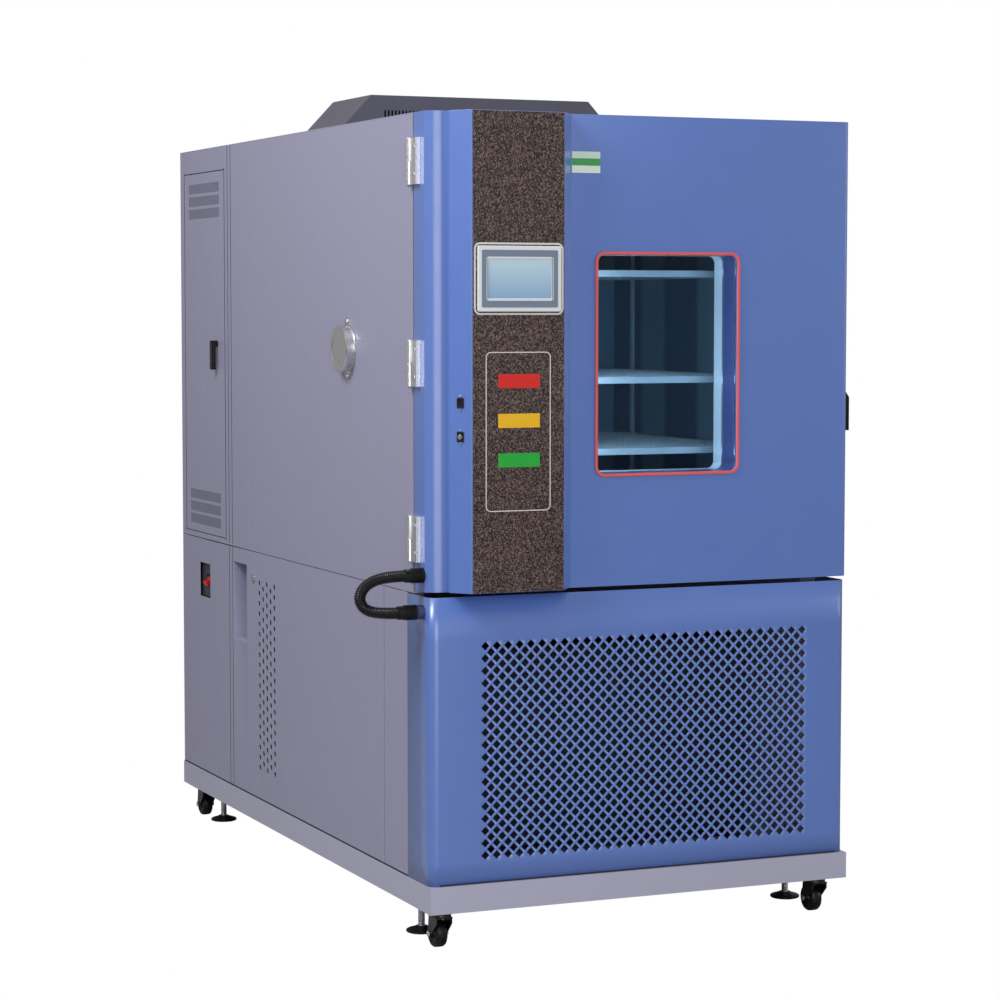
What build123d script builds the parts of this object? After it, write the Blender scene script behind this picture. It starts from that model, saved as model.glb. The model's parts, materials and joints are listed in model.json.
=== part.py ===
from build123d import *
import math
import os

# A walk-up environmental test chamber on casters: an insulated stainless cavity behind a windowed
# door with a control box, over a machine bay with a condensing unit, and an electrical bay behind.

os.makedirs("parts", exist_ok=True)

# Overall sizes. The origin is on the floor under the middle of the base, and the front faces -Y.
base_width = 1050
base_depth = 1875
base_height = 60
caster_height = 90
body_height = 1762
lower_top = 701
door_bottom = 711
side_inset = 2.5
front_setback = 9
corner_radius = 22
sheet = 2
frame_wall = 3
seat_gap = 0.3
panel_gap = 2

front = -base_depth / 2
back = base_depth / 2
floor_level = caster_height
base_top = floor_level + base_height
body_top = floor_level + body_height
side = base_width / 2 - side_inset
lower_head = floor_level + lower_top
door_foot = floor_level + door_bottom

# Base frame, posts and the deck that carries the insulated box
rail_width = 100
post_size = 40
post_wall = 4
post_inset = 150
deck_thickness = 4
deck_top = door_foot - 4

# Casters and levelling feet
caster_inset_x = 48
caster_inset_y = 62
caster_plate = 84
caster_plate_thickness = 4
king_pin_radius = 6
swivel_head_radius = 24
swivel_head_height = 12
wheel_radius = 31.5
wheel_width = 30
axle_radius = 4
fork_wall = 3
fork_clearance = 1.5
caster_trail = 18
running_clearance = 0.05
foot_inset_x = 55
foot_inset_y = 195
foot_lift = 10
foot_pad_radius = 35
foot_pad_height = 14
foot_stem_radius = 8
foot_stem_length = 100
foot_nut_radius = 16
foot_nut_height = 22

# Lower front panel and its diamond grille
front_flange_depth = 145
grille_pitch = 55
grille_diagonal = 40
grille_columns = 15
grille_rows = 9
grille_centre_x = 8
grille_centre_z = 356
fold_depth = 20

# Lower side panels, from the front: fixed strip, lift-off panel, service strip, breaker panel
strip_end = 291
access_end = 1286
service_end = 1448
side_seam = 9
lock_y = 1243
lock_z = 633
lock_radius = 9
hole_columns = 5
hole_rows = 12
hole_radius = 10
hole_pitch_y = 30
hole_pitch_z = 40
hole_first_y = 1080
hole_first_z = 160
niche_low_y = 1302
niche_high_y = 1415
niche_low_z = 459
niche_high_z = 663
niche_depth = 60
gauge_radius = 23
gauge_depth = 30
gauge_levels = (515, 607)
gauge_y = 1332
breaker_low_y = 1622
breaker_high_y = 1716
breaker_low_z = 543
breaker_high_z = 636
breaker_recess = 6
breaker_depth = 70
toggle_width = 30
toggle_height = 14
toggle_length = 26
toggle_swing_radius = 16

# Upper body: shell, insulation and stainless cavity
shell_front = 107
cavity_width = 800
cavity_height = 850
cavity_floor = 806
cavity_back = 1250
insulation_back = 1350
liner_flange = 100
bay_door_low_y = 1478
bay_door_high_y = 1839
bay_door_high_z = 1697
bay_door_low_z = 720
bay_door_depth = 18
bay_gap = 2.5
bay_pivot_radius = 1.5
bay_pivot_inset = 3
lip_depth = 20
vent_slots = 9
vent_blocks = 3
vent_block_pitch = 34
vent_block_height = 25
vent_width = 276
vent_slot_width = 14
upper_vent_top = 1669
lower_vent_top = 835
bay_handle_y = 1543
bay_handle_low_z = 1168
bay_handle_high_z = 1246
bay_handle_width = 17
bay_handle_depth = 12
bay_handle_standoff = 7

# Chamber fittings
shelf_levels = (1010, 1175, 1421)
shelf_front = 190
shelf_back = 960
shelf_side_gap = 4
shelf_lip = 15
shelf_thickness = 1.5
upright_size = 18
upright_slots = 12
duct_y = 1010
duct_slot_rows = 9
duct_slot_columns = 7
duct_slot_length = 60
duct_slot_height = 10
fan_intake_radius = 120
fan_x = 0
fan_z = 1330
fan_radius = 135
fan_blades = 12
fan_depth = 60
fan_y = 1165
fan_shaft_radius = 8
motor_radius = 75
motor_length = 150
coil_thickness = 60
coil_y = 1060
coil_tubes = 6
coil_tube_radius = 8

# Cable port on the left side
port_y = 524
port_z = 1240
port_bore_radius = 50
port_tube_wall = 1.5
port_foam_width = 170
port_flange_radius = 56
port_ear_half_height = 72
port_ear_radius = 16
port_flange_thickness = 3
port_collar_height = 12
port_cap_radius = 56
port_cap_height = 9
port_plug_length = 18
port_plug_clearance = 0.4

# Door
door_back = 101
door_side_front = 40
door_bevel_x = 24.5
door_bevel_y = 24
door_step_x = 62
window_low_x = -126
window_high_x = 238
window_low_z = 957
window_high_z = 1460
window_radius = 24
trim_band = 7
trim_proud = 4
pane_thickness = 5
pane_inset = 6
inner_pane_depth = 69
frame_sheet = 3
plug_depth = 22
plug_gap = 6
inner_sheet = 2
gasket_width = 16
gasket_offset = 14

# Control box on the door
box_low_x = -476
box_high_x = -185
box_flank = 35
box_reach = 43
flank_foot_wall = 4
flank_face_wall = 3
cutout_margin = 12
fascia_thickness = 3
bezel_width = 199
bezel_height = 143
bezel_thickness = 6
panel_body_depth = 29
bezel_z = 1398
screen_width = 151
screen_height = 85
screen_recess = 1.5
status_width = 99
status_height = 31
status_thickness = 2
status_levels = (1002, 1088, 1175)
socket_levels = (1054, 1128)
socket_width = 16
socket_height = 22
socket_thickness = 3

# Hinges: three lift-off hinges on the left edge
hinge_axis_out = 10
hinge_radius = 8
hinge_pin_radius = 4
hinge_height = 102
hinge_levels = (826, 1213, 1655)
hinge_leaf = 4
hinge_body_reach = 34
hinge_block_out = 11
hinge_block_low_y = 62
hinge_gap = 0.5

# Door lever and lock on the right edge
lever_z = 1150
lever_y = 70
lever_spindle_radius = 7
lever_boss_radius = 15
lever_boss_height = 10
lever_out = 30
lever_drop = 30
lever_grip_length = 72
lever_width = 20
lever_thickness = 9
key_z = 1213
key_radius = 9
key_length = 6

# Hose between door and lower body
hose_radius = 13
gland_radius = 17
gland_length = 44
gland_y = 52
upper_gland_z = 748
lower_gland_z = 667
adapter_length = 17
adapter_radius = 16
hose_route = ((0, 47, 0), (14, 85, -17), (22, 99, -47), (18, 86, -74), (0, 52, -81))

# Top hood
hood_front = 960
hood_back = 1240
hood_height = 104
hood_half_bottom = 398
hood_half_top = 300
hood_slots = 13
hood_slot_pitch = 40
hood_slot_width = 12
hood_slot_low = 20
hood_slot_high = 69

# Machine bay and electrical bay
compressor_x = -150
compressor_y = 900
compressor_radius = 110
compressor_height = 330
compressor_lift = 30
compressor_dome = 45
compressor_foot_x = 130
compressor_foot_y = 90
compressor_foot_thickness = 6
pipe_radius = 8
pipe_reach = 50
condenser_y = 230
condenser_width = 760
condenser_height = 460
condenser_depth = 70
condenser_lift = 30
shroud_depth = 50
condenser_fan_radius = 180
condenser_fan_bore = 190
condenser_fan_blades = 5
fan_hub_radius = 45
fan_bracket = 30
plate_x = -250
plate_low_y = 1470
plate_high_y = 1850
contactor_rows = 5
contactor_columns = 4
contactor_size = 45
contactor_depth = 70
rear_vent_slots = 12
rear_vent_pitch = 26
drain_radius = 12
drain_reach = 33
power_gland_radius = 20


def block(x0, x1, y0, y1, z0, z1):
    """A box between two opposite corners."""
    middle = Pos((x0 + x1) / 2, (y0 + y1) / 2, (z0 + z1) / 2)
    return middle * Box(abs(x1 - x0), abs(y1 - y0), abs(z1 - z0))


def rod_x(radius, x0, x1, y, z):
    return Pos((x0 + x1) / 2, y, z) * Rot(0, 90, 0) * Cylinder(radius, abs(x1 - x0))


def rod_y(radius, y0, y1, x, z):
    return Pos(x, (y0 + y1) / 2, z) * Rot(90, 0, 0) * Cylinder(radius, abs(y1 - y0))


def rod_z(radius, z0, z1, x, y):
    return Pos(x, y, (z0 + z1) / 2) * Cylinder(radius, abs(z1 - z0))


def column(points, z0, z1):
    """A plan outline raised from one level to another."""
    face = Pos(0, 0, z0) * Polygon(*points, align=None)
    return extrude(face, amount=z1 - z0, dir=(0, 0, 1))


def ring_y(x0, x1, z0, z1, band, y0, y1):
    """A rectangular frame lying in the front plane."""
    outer = block(x0, x1, y0, y1, z0, z1)
    return outer - block(x0 + band, x1 - band, y0 - 1, y1 + 1, z0 + band, z1 - band)


def window_block(grow, y0, y1):
    """The window's rounded outline, grown by a margin, as a block through the door."""
    low_x, high_x = window_low_x - grow, window_high_x + grow
    low_z = floor_level + window_low_z - grow
    high_z = floor_level + window_high_z + grow
    shape = block(low_x, high_x, y0, y1, low_z, high_z)
    return fillet(shape.edges().filter_by(Axis.Y), window_radius + grow)


def caster_places():
    x, y = base_width / 2 - caster_inset_x, base_depth / 2 - caster_inset_y
    return [(-x, -y), (x, -y), (-x, y), (x, y)]


def foot_places():
    x, y = base_width / 2 - foot_inset_x, base_depth / 2 - foot_inset_y
    return [(-x, -y), (x, -y), (-x, y), (x, y)]


def box_rail(x0, x1, y0, y1):
    """A closed box rail of the skirt."""
    rail = block(x0, x1, y0, y1, floor_level, base_top)
    return rail - block(x0 + frame_wall, x1 - frame_wall, y0 + frame_wall, y1 - frame_wall,
                        floor_level + frame_wall, base_top - frame_wall)


def corner_post(side_sign, y_face, inward, top):
    """An angle with its corner outwards. inward is the sign of Y from its face into the bay."""
    x = side_sign * (side - sheet)
    leg = block(x, x - side_sign * post_wall, y_face, y_face + inward * post_size, base_top, top)
    return leg + block(x, x - side_sign * post_size, y_face, y_face + inward * post_wall, base_top, top)


def base_frame():
    """Skirt of four box rails round a floor plate, caster plates with pins, posts and the upper deck."""
    half = base_width / 2
    inner = half - rail_width
    side_rails = [box_rail(-half, -inner, front, back), box_rail(inner, half, front, back)]
    for x, y in foot_places():
        index = 0 if x < 0 else 1
        side_rails[index] += rod_z(foot_nut_radius, floor_level, floor_level + foot_nut_height, x, y)
        side_rails[index] -= rod_z(foot_stem_radius + running_clearance, floor_level - 1,
                                   floor_level + foot_nut_height + 1, x, y)
    members = side_rails + [box_rail(-inner, inner, front, front + rail_width),
                            box_rail(-inner, inner, back - rail_width, back)]
    members.append(block(-inner, inner, front + rail_width, back - rail_width, base_top - frame_wall, base_top))
    half_plate = caster_plate / 2
    for x, y in caster_places():
        plate_low = floor_level - caster_plate_thickness
        plate = block(x - half_plate, x + half_plate, y - half_plate, y + half_plate, plate_low, floor_level)
        members.append(plate + rod_z(king_pin_radius, plate_low - swivel_head_height - seat_gap, floor_level, x, y))
    deck_low = deck_top - deck_thickness
    for side_sign in (-1, 1):
        members.append(corner_post(side_sign, front + post_inset, 1, deck_low))
        members.append(corner_post(side_sign, back - sheet, -1, deck_low))
    half_deck = side - sheet
    members.append(block(-half_deck, half_deck, front + shell_front, front + insulation_back, deck_low, deck_top))
    return Compound(members)


def caster_swivel(x, y):
    """Fork with its swivel head on the king pin, and the axle across its legs."""
    head_top = floor_level - caster_plate_thickness - seat_gap
    head_low = head_top - swivel_head_height
    half = wheel_width / 2 + fork_clearance
    body = rod_z(swivel_head_radius, head_low, head_top, x, y)
    body += block(x - half - fork_wall, x + half + fork_wall, y - swivel_head_radius, y + swivel_head_radius,
                  head_low - fork_wall, head_low)
    axle_y, axle_z = y + caster_trail, wheel_radius
    leg_points = [(y - 22, head_low), (y + 23, head_low), (axle_y + 11, axle_z), (axle_y, axle_z - 11),
                  (axle_y - 11, axle_z), (y - 22, head_low - 14)]
    for sign in (-1, 1):
        inner = x + sign * half
        outline = Plane.YZ.offset(min(inner, inner + sign * fork_wall)) * Polygon(*leg_points, align=None)
        body += extrude(outline, amount=fork_wall, dir=(1, 0, 0))
    body += rod_x(axle_radius, x - half - fork_wall - 2, x + half + fork_wall + 2, axle_y, axle_z)
    return body - rod_z(king_pin_radius + running_clearance, head_low - fork_wall - 1, head_top + 1, x, y)


def caster_wheel(x, y):
    """Tyred wheel with a rounded tread, on the fork's axle."""
    axle_y = y + caster_trail
    body = rod_x(wheel_radius, x - wheel_width / 2, x + wheel_width / 2, axle_y, wheel_radius)
    body = chamfer(body.edges().filter_by(GeomType.CIRCLE), 4)
    bore = axle_radius + running_clearance
    return body - rod_x(bore, x - wheel_width, x + wheel_width, axle_y, wheel_radius)


def levelling_foot(x, y):
    """Round pad under a threaded stem that screws through the base flange."""
    section = [(0, 0), (foot_pad_radius, 0), (foot_pad_radius, 5), (foot_stem_radius + 6, foot_pad_height),
               (foot_stem_radius, foot_pad_height), (foot_stem_radius, foot_stem_length), (0, foot_stem_length)]
    outline = Plane.XZ * Polygon(*section, align=None)
    return Pos(x, y, foot_lift) * revolve(outline, axis=Axis.Z)


def lower_front_panel():
    """Blue folded panel across the front with a punched diamond grille and side flanges."""
    low, high = base_top, lower_head
    outer = block(-side, side, front + front_setback, front + front_flange_depth, low, high)
    corners = outer.edges().filter_by(Axis.Z).sort_by(Axis.Y)[:2]
    outer = fillet(corners, corner_radius)
    inner = block(-side + sheet, side - sheet, front + front_setback + sheet, front + front_flange_depth + 1,
                  low, high - sheet)
    corners = inner.edges().filter_by(Axis.Z).sort_by(Axis.Y)[:2]
    inner = fillet(corners, corner_radius - sheet)
    body = outer - inner
    body -= block(-side + fold_depth, side - fold_depth, front + front_setback + fold_depth,
                  front + front_flange_depth + 1, high - sheet - 1, high + 1)
    centre = Plane.XZ.offset(-front) * Pos(grille_centre_x, floor_level + grille_centre_z)
    half_side = grille_diagonal / math.sqrt(2)
    holes = Sketch()
    for columns, rows in ((grille_columns, grille_rows), (grille_columns - 1, grille_rows - 1)):
        for place in GridLocations(grille_pitch, grille_pitch, columns, rows):
            holes += centre * place * Rectangle(half_side, half_side, rotation=45)
    return body - extrude(holes, amount=front_setback + fold_depth, dir=(0, 1, 0))


def side_sheet(sign, y0, y1, z0, z1):
    """A flat skin panel in the plane of one side, with the panel's own sheet thickness."""
    return block(sign * (side - sheet), sign * side, front + y0, front + y1, z0, z1)


def lower_side_panels():
    """Fixed strip behind the front panel's left flange, and the whole right side."""
    top = door_foot - side_seam
    left = side_sheet(-1, front_flange_depth, strip_end, base_top, top)
    right = side_sheet(1, front_flange_depth, base_depth - sheet, base_top, top)
    return Compound([left, right])


def access_panel():
    """Lift-off panel with a block of staggered vent holes, folded at its edges."""
    low, high = base_top + seat_gap, door_foot - side_seam
    y0, y1 = strip_end + panel_gap, access_end - panel_gap
    body = side_sheet(-1, y0, y1, low, high)
    folds = block(-side, -side + fold_depth, front + y0, front + y1, low, high)
    folds -= block(-side, -side + fold_depth + 1, front + y0 + sheet, front + y1 - sheet, low + sheet, high - sheet)
    body += folds
    holes = Sketch()
    plane = Plane.YZ.offset(-side - 1)
    for column_index in range(hole_columns):
        for row in range(hole_rows):
            y = front + hole_first_y + column_index * hole_pitch_y
            z = floor_level + hole_first_z + row * hole_pitch_z + (column_index % 2) * hole_pitch_z / 2
            holes += plane * Pos(y, z) * RegularPolygon(hole_radius, 6)
    body -= extrude(holes, amount=sheet + 2, dir=(1, 0, 0))
    bore = rod_x(lock_radius + running_clearance, -side - 1, -side + sheet + 1, front + lock_y, floor_level + lock_z)
    return body - bore


def access_lock():
    """Cam lock: a round body through the panel with its cam behind."""
    y, z = front + lock_y, floor_level + lock_z
    body = rod_x(lock_radius, -side - 3, -side + 22, y, z)
    body += rod_x(lock_radius + 3, -side - 3, -side - seat_gap, y, z)
    body += block(-side + 22, -side + 25, y - 7, y + 7, z - 7, z + 32)
    return body - block(-side - 4, -side - 2, y - 1, y + 1, z - 5, z + 5)


def service_panels():
    """Fixed strip with the gauge niche, and the panel with the main switch's window."""
    top = door_foot - side_seam
    strip = side_sheet(-1, access_end, service_end, base_top, top)
    niche = [front + niche_low_y, front + niche_high_y, floor_level + niche_low_z, floor_level + niche_high_z]
    tray = block(-side + sheet, -side + niche_depth, niche[0] - sheet, niche[1] + sheet, niche[2] - sheet,
                 niche[3] + sheet)
    strip += tray
    strip -= block(-side - 1, -side + niche_depth - sheet, *niche)
    rear = side_sheet(-1, service_end, base_depth - sheet, base_top, top)
    window = [front + breaker_low_y, front + breaker_high_y, floor_level + breaker_low_z, floor_level + breaker_high_z]
    rear -= block(-side - 1, -side + sheet + 1, *window)
    return Compound([strip, rear])


def pressure_gauges():
    """Two round gauges on the back wall of the niche."""
    wall = -side + niche_depth - sheet
    gauges = []
    for level in gauge_levels:
        gauge = rod_x(gauge_radius, wall - gauge_depth, wall, front + gauge_y, floor_level + level)
        gauge -= rod_x(gauge_radius - 3, wall - gauge_depth - 1, wall - gauge_depth + 3, front + gauge_y,
                       floor_level + level)
        gauges.append(gauge)
    return Compound(gauges)


def breaker_toggle():
    """Red handle of the main switch, on its pivot across the switch's body."""
    y = front + (breaker_low_y + breaker_high_y) / 2
    z = floor_level + (breaker_low_z + breaker_high_z) / 2
    pivot_x = -side + sheet + breaker_recess + toggle_swing_radius
    body = rod_y(toggle_swing_radius - 2, y - toggle_width / 2, y + toggle_width / 2, pivot_x, z)
    grip = block(pivot_x - toggle_length, pivot_x, y - toggle_width / 2, y + toggle_width / 2,
                 z - toggle_height / 2, z + toggle_height / 2)
    return body + Pos(pivot_x, y, z) * Rot(0, -25, 0) * Pos(-pivot_x, -y, -z) * grip


def electrical_plate():
    """Mounting plate in the rear bay with its rows of contactors and the main switch's body."""
    low, high = base_top, floor_level + bay_door_high_z
    body = block(plate_x, plate_x + sheet, front + plate_low_y, front + plate_high_y, low, high)
    step_y = (plate_high_y - plate_low_y) / contactor_columns
    step_z = (bay_door_high_z - bay_door_low_z) / contactor_rows
    for row in range(contactor_rows):
        for place in range(contactor_columns):
            y = front + plate_low_y + step_y * (place + 0.5)
            z = floor_level + bay_door_low_z + step_z * (row + 0.5)
            body += block(plate_x - contactor_depth, plate_x, y - contactor_size / 2, y + contactor_size / 2,
                          z - contactor_size, z + contactor_size)
    y0, y1 = front + breaker_low_y - 4, front + breaker_high_y + 4
    z0, z1 = floor_level + breaker_low_z - 4, floor_level + breaker_high_z + 4
    face = -side + sheet + breaker_recess
    body += block(face, plate_x, y0, y1, z0, z1)
    y = front + (breaker_low_y + breaker_high_y) / 2
    z = floor_level + (breaker_low_z + breaker_high_z) / 2
    slot = rod_y(toggle_swing_radius, y - toggle_width / 2 - 1, y + toggle_width / 2 + 1,
                 face + toggle_swing_radius, z)
    slot += block(face - 1, face + toggle_swing_radius, y - toggle_width / 2 - 1, y + toggle_width / 2 + 1,
                  z - toggle_swing_radius, z + toggle_swing_radius)
    return body - slot


def bay_pivot():
    return -side + sheet + bay_pivot_radius, front + bay_door_high_y - bay_pivot_inset


def upper_left_panel():
    """Left skin of the upper body, open for the electrical bay door and for the cable port."""
    low = door_foot - side_seam + panel_gap
    body = side_sheet(-1, shell_front, base_depth - sheet, low, body_top - sheet)
    y0, y1 = front + bay_door_low_y - bay_gap, front + bay_door_high_y + bay_gap
    z0 = floor_level + bay_door_low_z - bay_gap
    z1 = floor_level + bay_door_high_z + bay_gap
    lip = block(-side + sheet, -side + lip_depth + sheet, y0 - sheet, y1 + sheet, z0 - sheet, z1 + sheet)
    body += lip
    body -= block(-side - 1, -side + lip_depth + sheet + 1, y0, y1, z0, z1)
    pivot_x, pivot_y = bay_pivot()
    body -= rod_z(bay_pivot_radius + running_clearance, z0 - sheet - 1, z1 + sheet + 1, pivot_x, pivot_y)
    port = rod_x(port_bore_radius + port_tube_wall, -side - 1, -side + sheet + 1, front + port_y, floor_level + port_z)
    return body - port


def vent_holes(top):
    """Blocks of upright slots punched in the bay door."""
    slots = Sketch()
    plane = Plane.YZ.offset(-side - 1)
    middle = front + (bay_door_low_y + bay_door_high_y) / 2
    pitch = vent_width / vent_slots
    for block_index in range(vent_blocks):
        z = floor_level + top - block_index * vent_block_pitch - vent_block_height / 2
        for index in range(vent_slots):
            y = middle + (index - (vent_slots - 1) / 2) * pitch
            slots += plane * Pos(y, z) * Rectangle(vent_slot_width, vent_block_height)
    return extrude(slots, amount=sheet + 2, dir=(1, 0, 0))


def electrical_door():
    """Folded door of the electrical bay on two pivot pins at its rear edge."""
    y0, y1 = front + bay_door_low_y, front + bay_door_high_y
    z0, z1 = floor_level + bay_door_low_z, floor_level + bay_door_high_z
    body = block(-side, -side + bay_door_depth, y0, y1, z0, z1)
    body -= block(-side + sheet, -side + bay_door_depth + 1, y0 + sheet, y1 - sheet, z0 + sheet, z1 - sheet)
    body -= vent_holes(upper_vent_top) + vent_holes(lower_vent_top)
    pivot_x, pivot_y = bay_pivot()
    reach = bay_gap + sheet + 0.5
    body += rod_z(bay_pivot_radius, z0 - reach, z0 + sheet, pivot_x, pivot_y)
    body += rod_z(bay_pivot_radius, z1 - sheet, z1 + reach, pivot_x, pivot_y)
    z = floor_level + bay_handle_high_z - bay_handle_width / 2
    return body - rod_x(5 + running_clearance, -side - 1, -side + sheet + 1, front + bay_handle_y, z)


def electrical_handle():
    """Black turning handle of the bay door with its spindle and cam."""
    y, z = front + bay_handle_y, floor_level + bay_handle_high_z - bay_handle_width / 2
    low = floor_level + bay_handle_low_z
    half = bay_handle_width / 2
    out = -side - bay_handle_standoff - bay_handle_depth
    grip = block(out, out + bay_handle_depth, y - half, y + half, low, z + half)
    grip = fillet(grip.edges().filter_by(Axis.X), half * 0.6)
    body = grip + rod_x(half, -side - bay_handle_standoff, -side - seat_gap, y, z)
    body += rod_x(5, -side - 1, -side + bay_door_depth - 2, y, z)
    return body + block(-side + bay_door_depth - 5, -side + bay_door_depth - 2, y - 6, y + 6, z - 6, z + 24)


def upper_casing():
    """Top and right skins in one folded sheet."""
    low = door_foot - side_seam + panel_gap
    y0, y1 = front + shell_front, back - sheet
    body = block(-side, side, y0, y1, body_top - sheet, body_top)
    body += block(side - sheet, side, y0, y1, low, body_top)
    edge = body.edges().filter_by(Axis.Y).sort_by(Axis.Z)[-4:].sort_by(Axis.X)[-1]
    return fillet(edge, sheet * 0.9)


def rear_panel():
    """Back skin with a louvred block, the power cable gland and the drain."""
    body = block(-side, side, back - sheet, back, base_top, body_top)
    slots = Sketch()
    plane = Plane.XZ.offset(-back - 1)
    for index in range(rear_vent_slots):
        z = floor_level + 150 + index * rear_vent_pitch
        slots += plane * Pos(0, z) * Rectangle(420, rear_vent_pitch * 0.4)
    body -= extrude(slots, amount=-sheet - 2, dir=(0, 1, 0))
    body += rod_y(power_gland_radius, back, back + drain_reach, side - 120, floor_level + 130)
    body -= rod_y(power_gland_radius / 2, back - sheet - 1, back + drain_reach + 1, side - 120, floor_level + 130)
    body += rod_y(drain_radius, back, back + drain_reach, -side + 140, floor_level + 110)
    return body - rod_y(drain_radius - 3, back - sheet - 1, back + drain_reach + 1, -side + 140, floor_level + 110)


def cavity_levels():
    low = floor_level + cavity_floor
    return low, low + cavity_height


def chamber_liner():
    """Welded stainless cavity with its front flange, open for the fan shaft and the port."""
    low, high = cavity_levels()
    half = cavity_width / 2
    y0, y1 = front + shell_front, front + cavity_back
    body = block(-half - sheet, half + sheet, y0, y1 + sheet, low - sheet, high + sheet)
    body += block(-half - liner_flange, half + liner_flange, y0, y0 + sheet, door_foot + 4, body_top - 14)
    body -= block(-half, half, y0 - 1, y1, low, high)
    body -= rod_y(fan_shaft_radius + 2, y1 - 1, y1 + sheet + 1, fan_x, floor_level + fan_z)
    return body - rod_x(port_bore_radius + port_tube_wall, -half - sheet - 1, -half + 1, front + port_y,
                        floor_level + port_z)


def insulation():
    """Foam boards on the five closed sides of the cavity, with a foam collar round the port's tube."""
    low, high = cavity_levels()
    half = cavity_width / 2 + sheet
    outer = side - sheet
    y0, y1 = front + shell_front + sheet, front + cavity_back + sheet
    y2 = front + insulation_back
    left = block(-outer, -half, y0, y1, deck_top, body_top - sheet)
    port = [front + port_y - port_foam_width / 2, front + port_y + port_foam_width / 2,
            floor_level + port_z - port_foam_width / 2, floor_level + port_z + port_foam_width / 2]
    left -= block(-outer - 1, -half + 1, *port)
    collar = block(-outer, -half, *port)
    collar -= rod_x(port_bore_radius + port_tube_wall, -outer - 1, -half + 1, front + port_y, floor_level + port_z)
    right = block(half, outer, y0, y1, deck_top, body_top - sheet)
    bottom = block(-half, half, y0, y1, deck_top, low - sheet)
    top = block(-half, half, y0, y1, high + sheet, body_top - sheet)
    rear = block(-outer, outer, y1, y2, deck_top, body_top - sheet)
    rear -= rod_y(fan_shaft_radius + 2, y1 - 1, y2 + 1, fan_x, floor_level + fan_z)
    return Compound([left, right, bottom, top, rear, collar])


def duct_panel():
    """Perforated screen across the cavity with the fan's intake ring."""
    low, high = cavity_levels()
    half = cavity_width / 2 - seat_gap
    y = front + duct_y
    body = block(-half, half, y, y + sheet, low, high)
    body -= rod_y(fan_intake_radius, y - 1, y + sheet + 1, fan_x, floor_level + fan_z)
    ring = rod_y(fan_intake_radius + 8, y - 6, y, fan_x, floor_level + fan_z)
    body += ring - rod_y(fan_intake_radius, y - 7, y + 1, fan_x, floor_level + fan_z)
    slots = Sketch()
    plane = Plane.XZ.offset(-y + 1)
    for row in range(duct_slot_rows):
        for place in range(duct_slot_columns):
            x = (place - (duct_slot_columns - 1) / 2) * cavity_width / (duct_slot_columns + 0.5)
            z = low + cavity_height * (row + 1) / (duct_slot_rows + 1)
            if math.hypot(x - fan_x, z - floor_level - fan_z) > fan_intake_radius + duct_slot_length:
                slots += plane * Pos(x, z) * Rectangle(duct_slot_length, duct_slot_height)
    return body - extrude(slots, amount=sheet + 2, dir=(0, 1, 0))


def shelf_uprights():
    """Four slotted uprights on the side walls."""
    low, high = cavity_levels()
    half = cavity_width / 2
    posts = []
    for sign in (-1, 1):
        for y in (front + shelf_front + 60, front + shelf_back - 60):
            inner = sign * (half - 2.5)
            post = block(sign * half, inner, y - upright_size / 2, y + upright_size / 2, low, high)
            for index in range(upright_slots):
                z = low + cavity_height * (index + 1) / (upright_slots + 1)
                post -= block(sign * half + sign, inner - sign, y - 3, y + 3, z - 8, z + 8)
            posts.append(post)
    return Compound(posts)


def shelf(level):
    """Perforated shelf with folded lips, hung on brackets in the uprights."""
    half = cavity_width / 2 - shelf_side_gap
    y0, y1 = front + shelf_front, front + shelf_back
    high = floor_level + level
    body = block(-half, half, y0, y1, high - shelf_lip, high)
    body -= block(-half + shelf_thickness, half - shelf_thickness, y0 + shelf_thickness, y1 - shelf_thickness,
                  high - shelf_lip - 1, high - shelf_thickness)
    slots = Sketch()
    plane = Plane.XY.offset(high - shelf_thickness - 1)
    for place in GridLocations(120, 70, 6, 10):
        slots += plane * Pos(0, (y0 + y1) / 2) * place * Rectangle(90, 36)
    body -= extrude(slots, amount=shelf_thickness + 2, dir=(0, 0, 1))
    for sign in (-1, 1):
        for y in (y0 + 60, y1 - 60):
            x0, x1 = sign * half, sign * (cavity_width / 2 - 2.5)
            body += block(x0, x1, y - 8, y + 8, high - shelf_lip, high - 2)
    return body


def shelves():
    return Compound([shelf(level) for level in shelf_levels])


def evaporator():
    """Finned cooling coil with the heater tubes before it, hung from the cavity's roof."""
    low, high = cavity_levels()
    half = cavity_width / 2 - 60
    y0 = front + coil_y
    body = block(-half, half, y0, y0 + coil_thickness, low + 80, high)
    body -= rod_y(fan_intake_radius, y0 - 1, y0 + coil_thickness + 1, fan_x, floor_level + fan_z)
    step = (2 * half - 80) / (coil_tubes - 1)
    for index in range(coil_tubes):
        x = -half + 40 + index * step
        body -= rod_z(coil_tube_radius, low + 120, high - 40, x, y0)
    return body


def circulation_fan():
    """Centrifugal wheel: back plate, blades and front ring on a shaft to the motor."""
    y0 = front + fan_y
    y1 = y0 + fan_depth
    z = floor_level + fan_z
    body = rod_y(fan_radius, y1 - 3, y1, fan_x, z)
    body += rod_y(fan_radius, y0, y0 + 3, fan_x, z) - rod_y(fan_radius * 0.7, y0 - 1, y0 + 4, fan_x, z)
    for index in range(fan_blades):
        blade = block(fan_radius * 0.72, fan_radius - 1, -1.5, 1.5, 0, fan_depth)
        turned = Rot(0, index * 360 / fan_blades, 0) * Rot(-90, 0, 0) * blade
        body += Pos(fan_x, y0, z) * turned
    motor_face = front + insulation_back
    body += rod_y(fan_shaft_radius, y0 + 10, motor_face + 20, fan_x, z)
    return body + rod_y(fan_shaft_radius * 2.2, y1 - 30, y1, fan_x, z)


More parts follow.
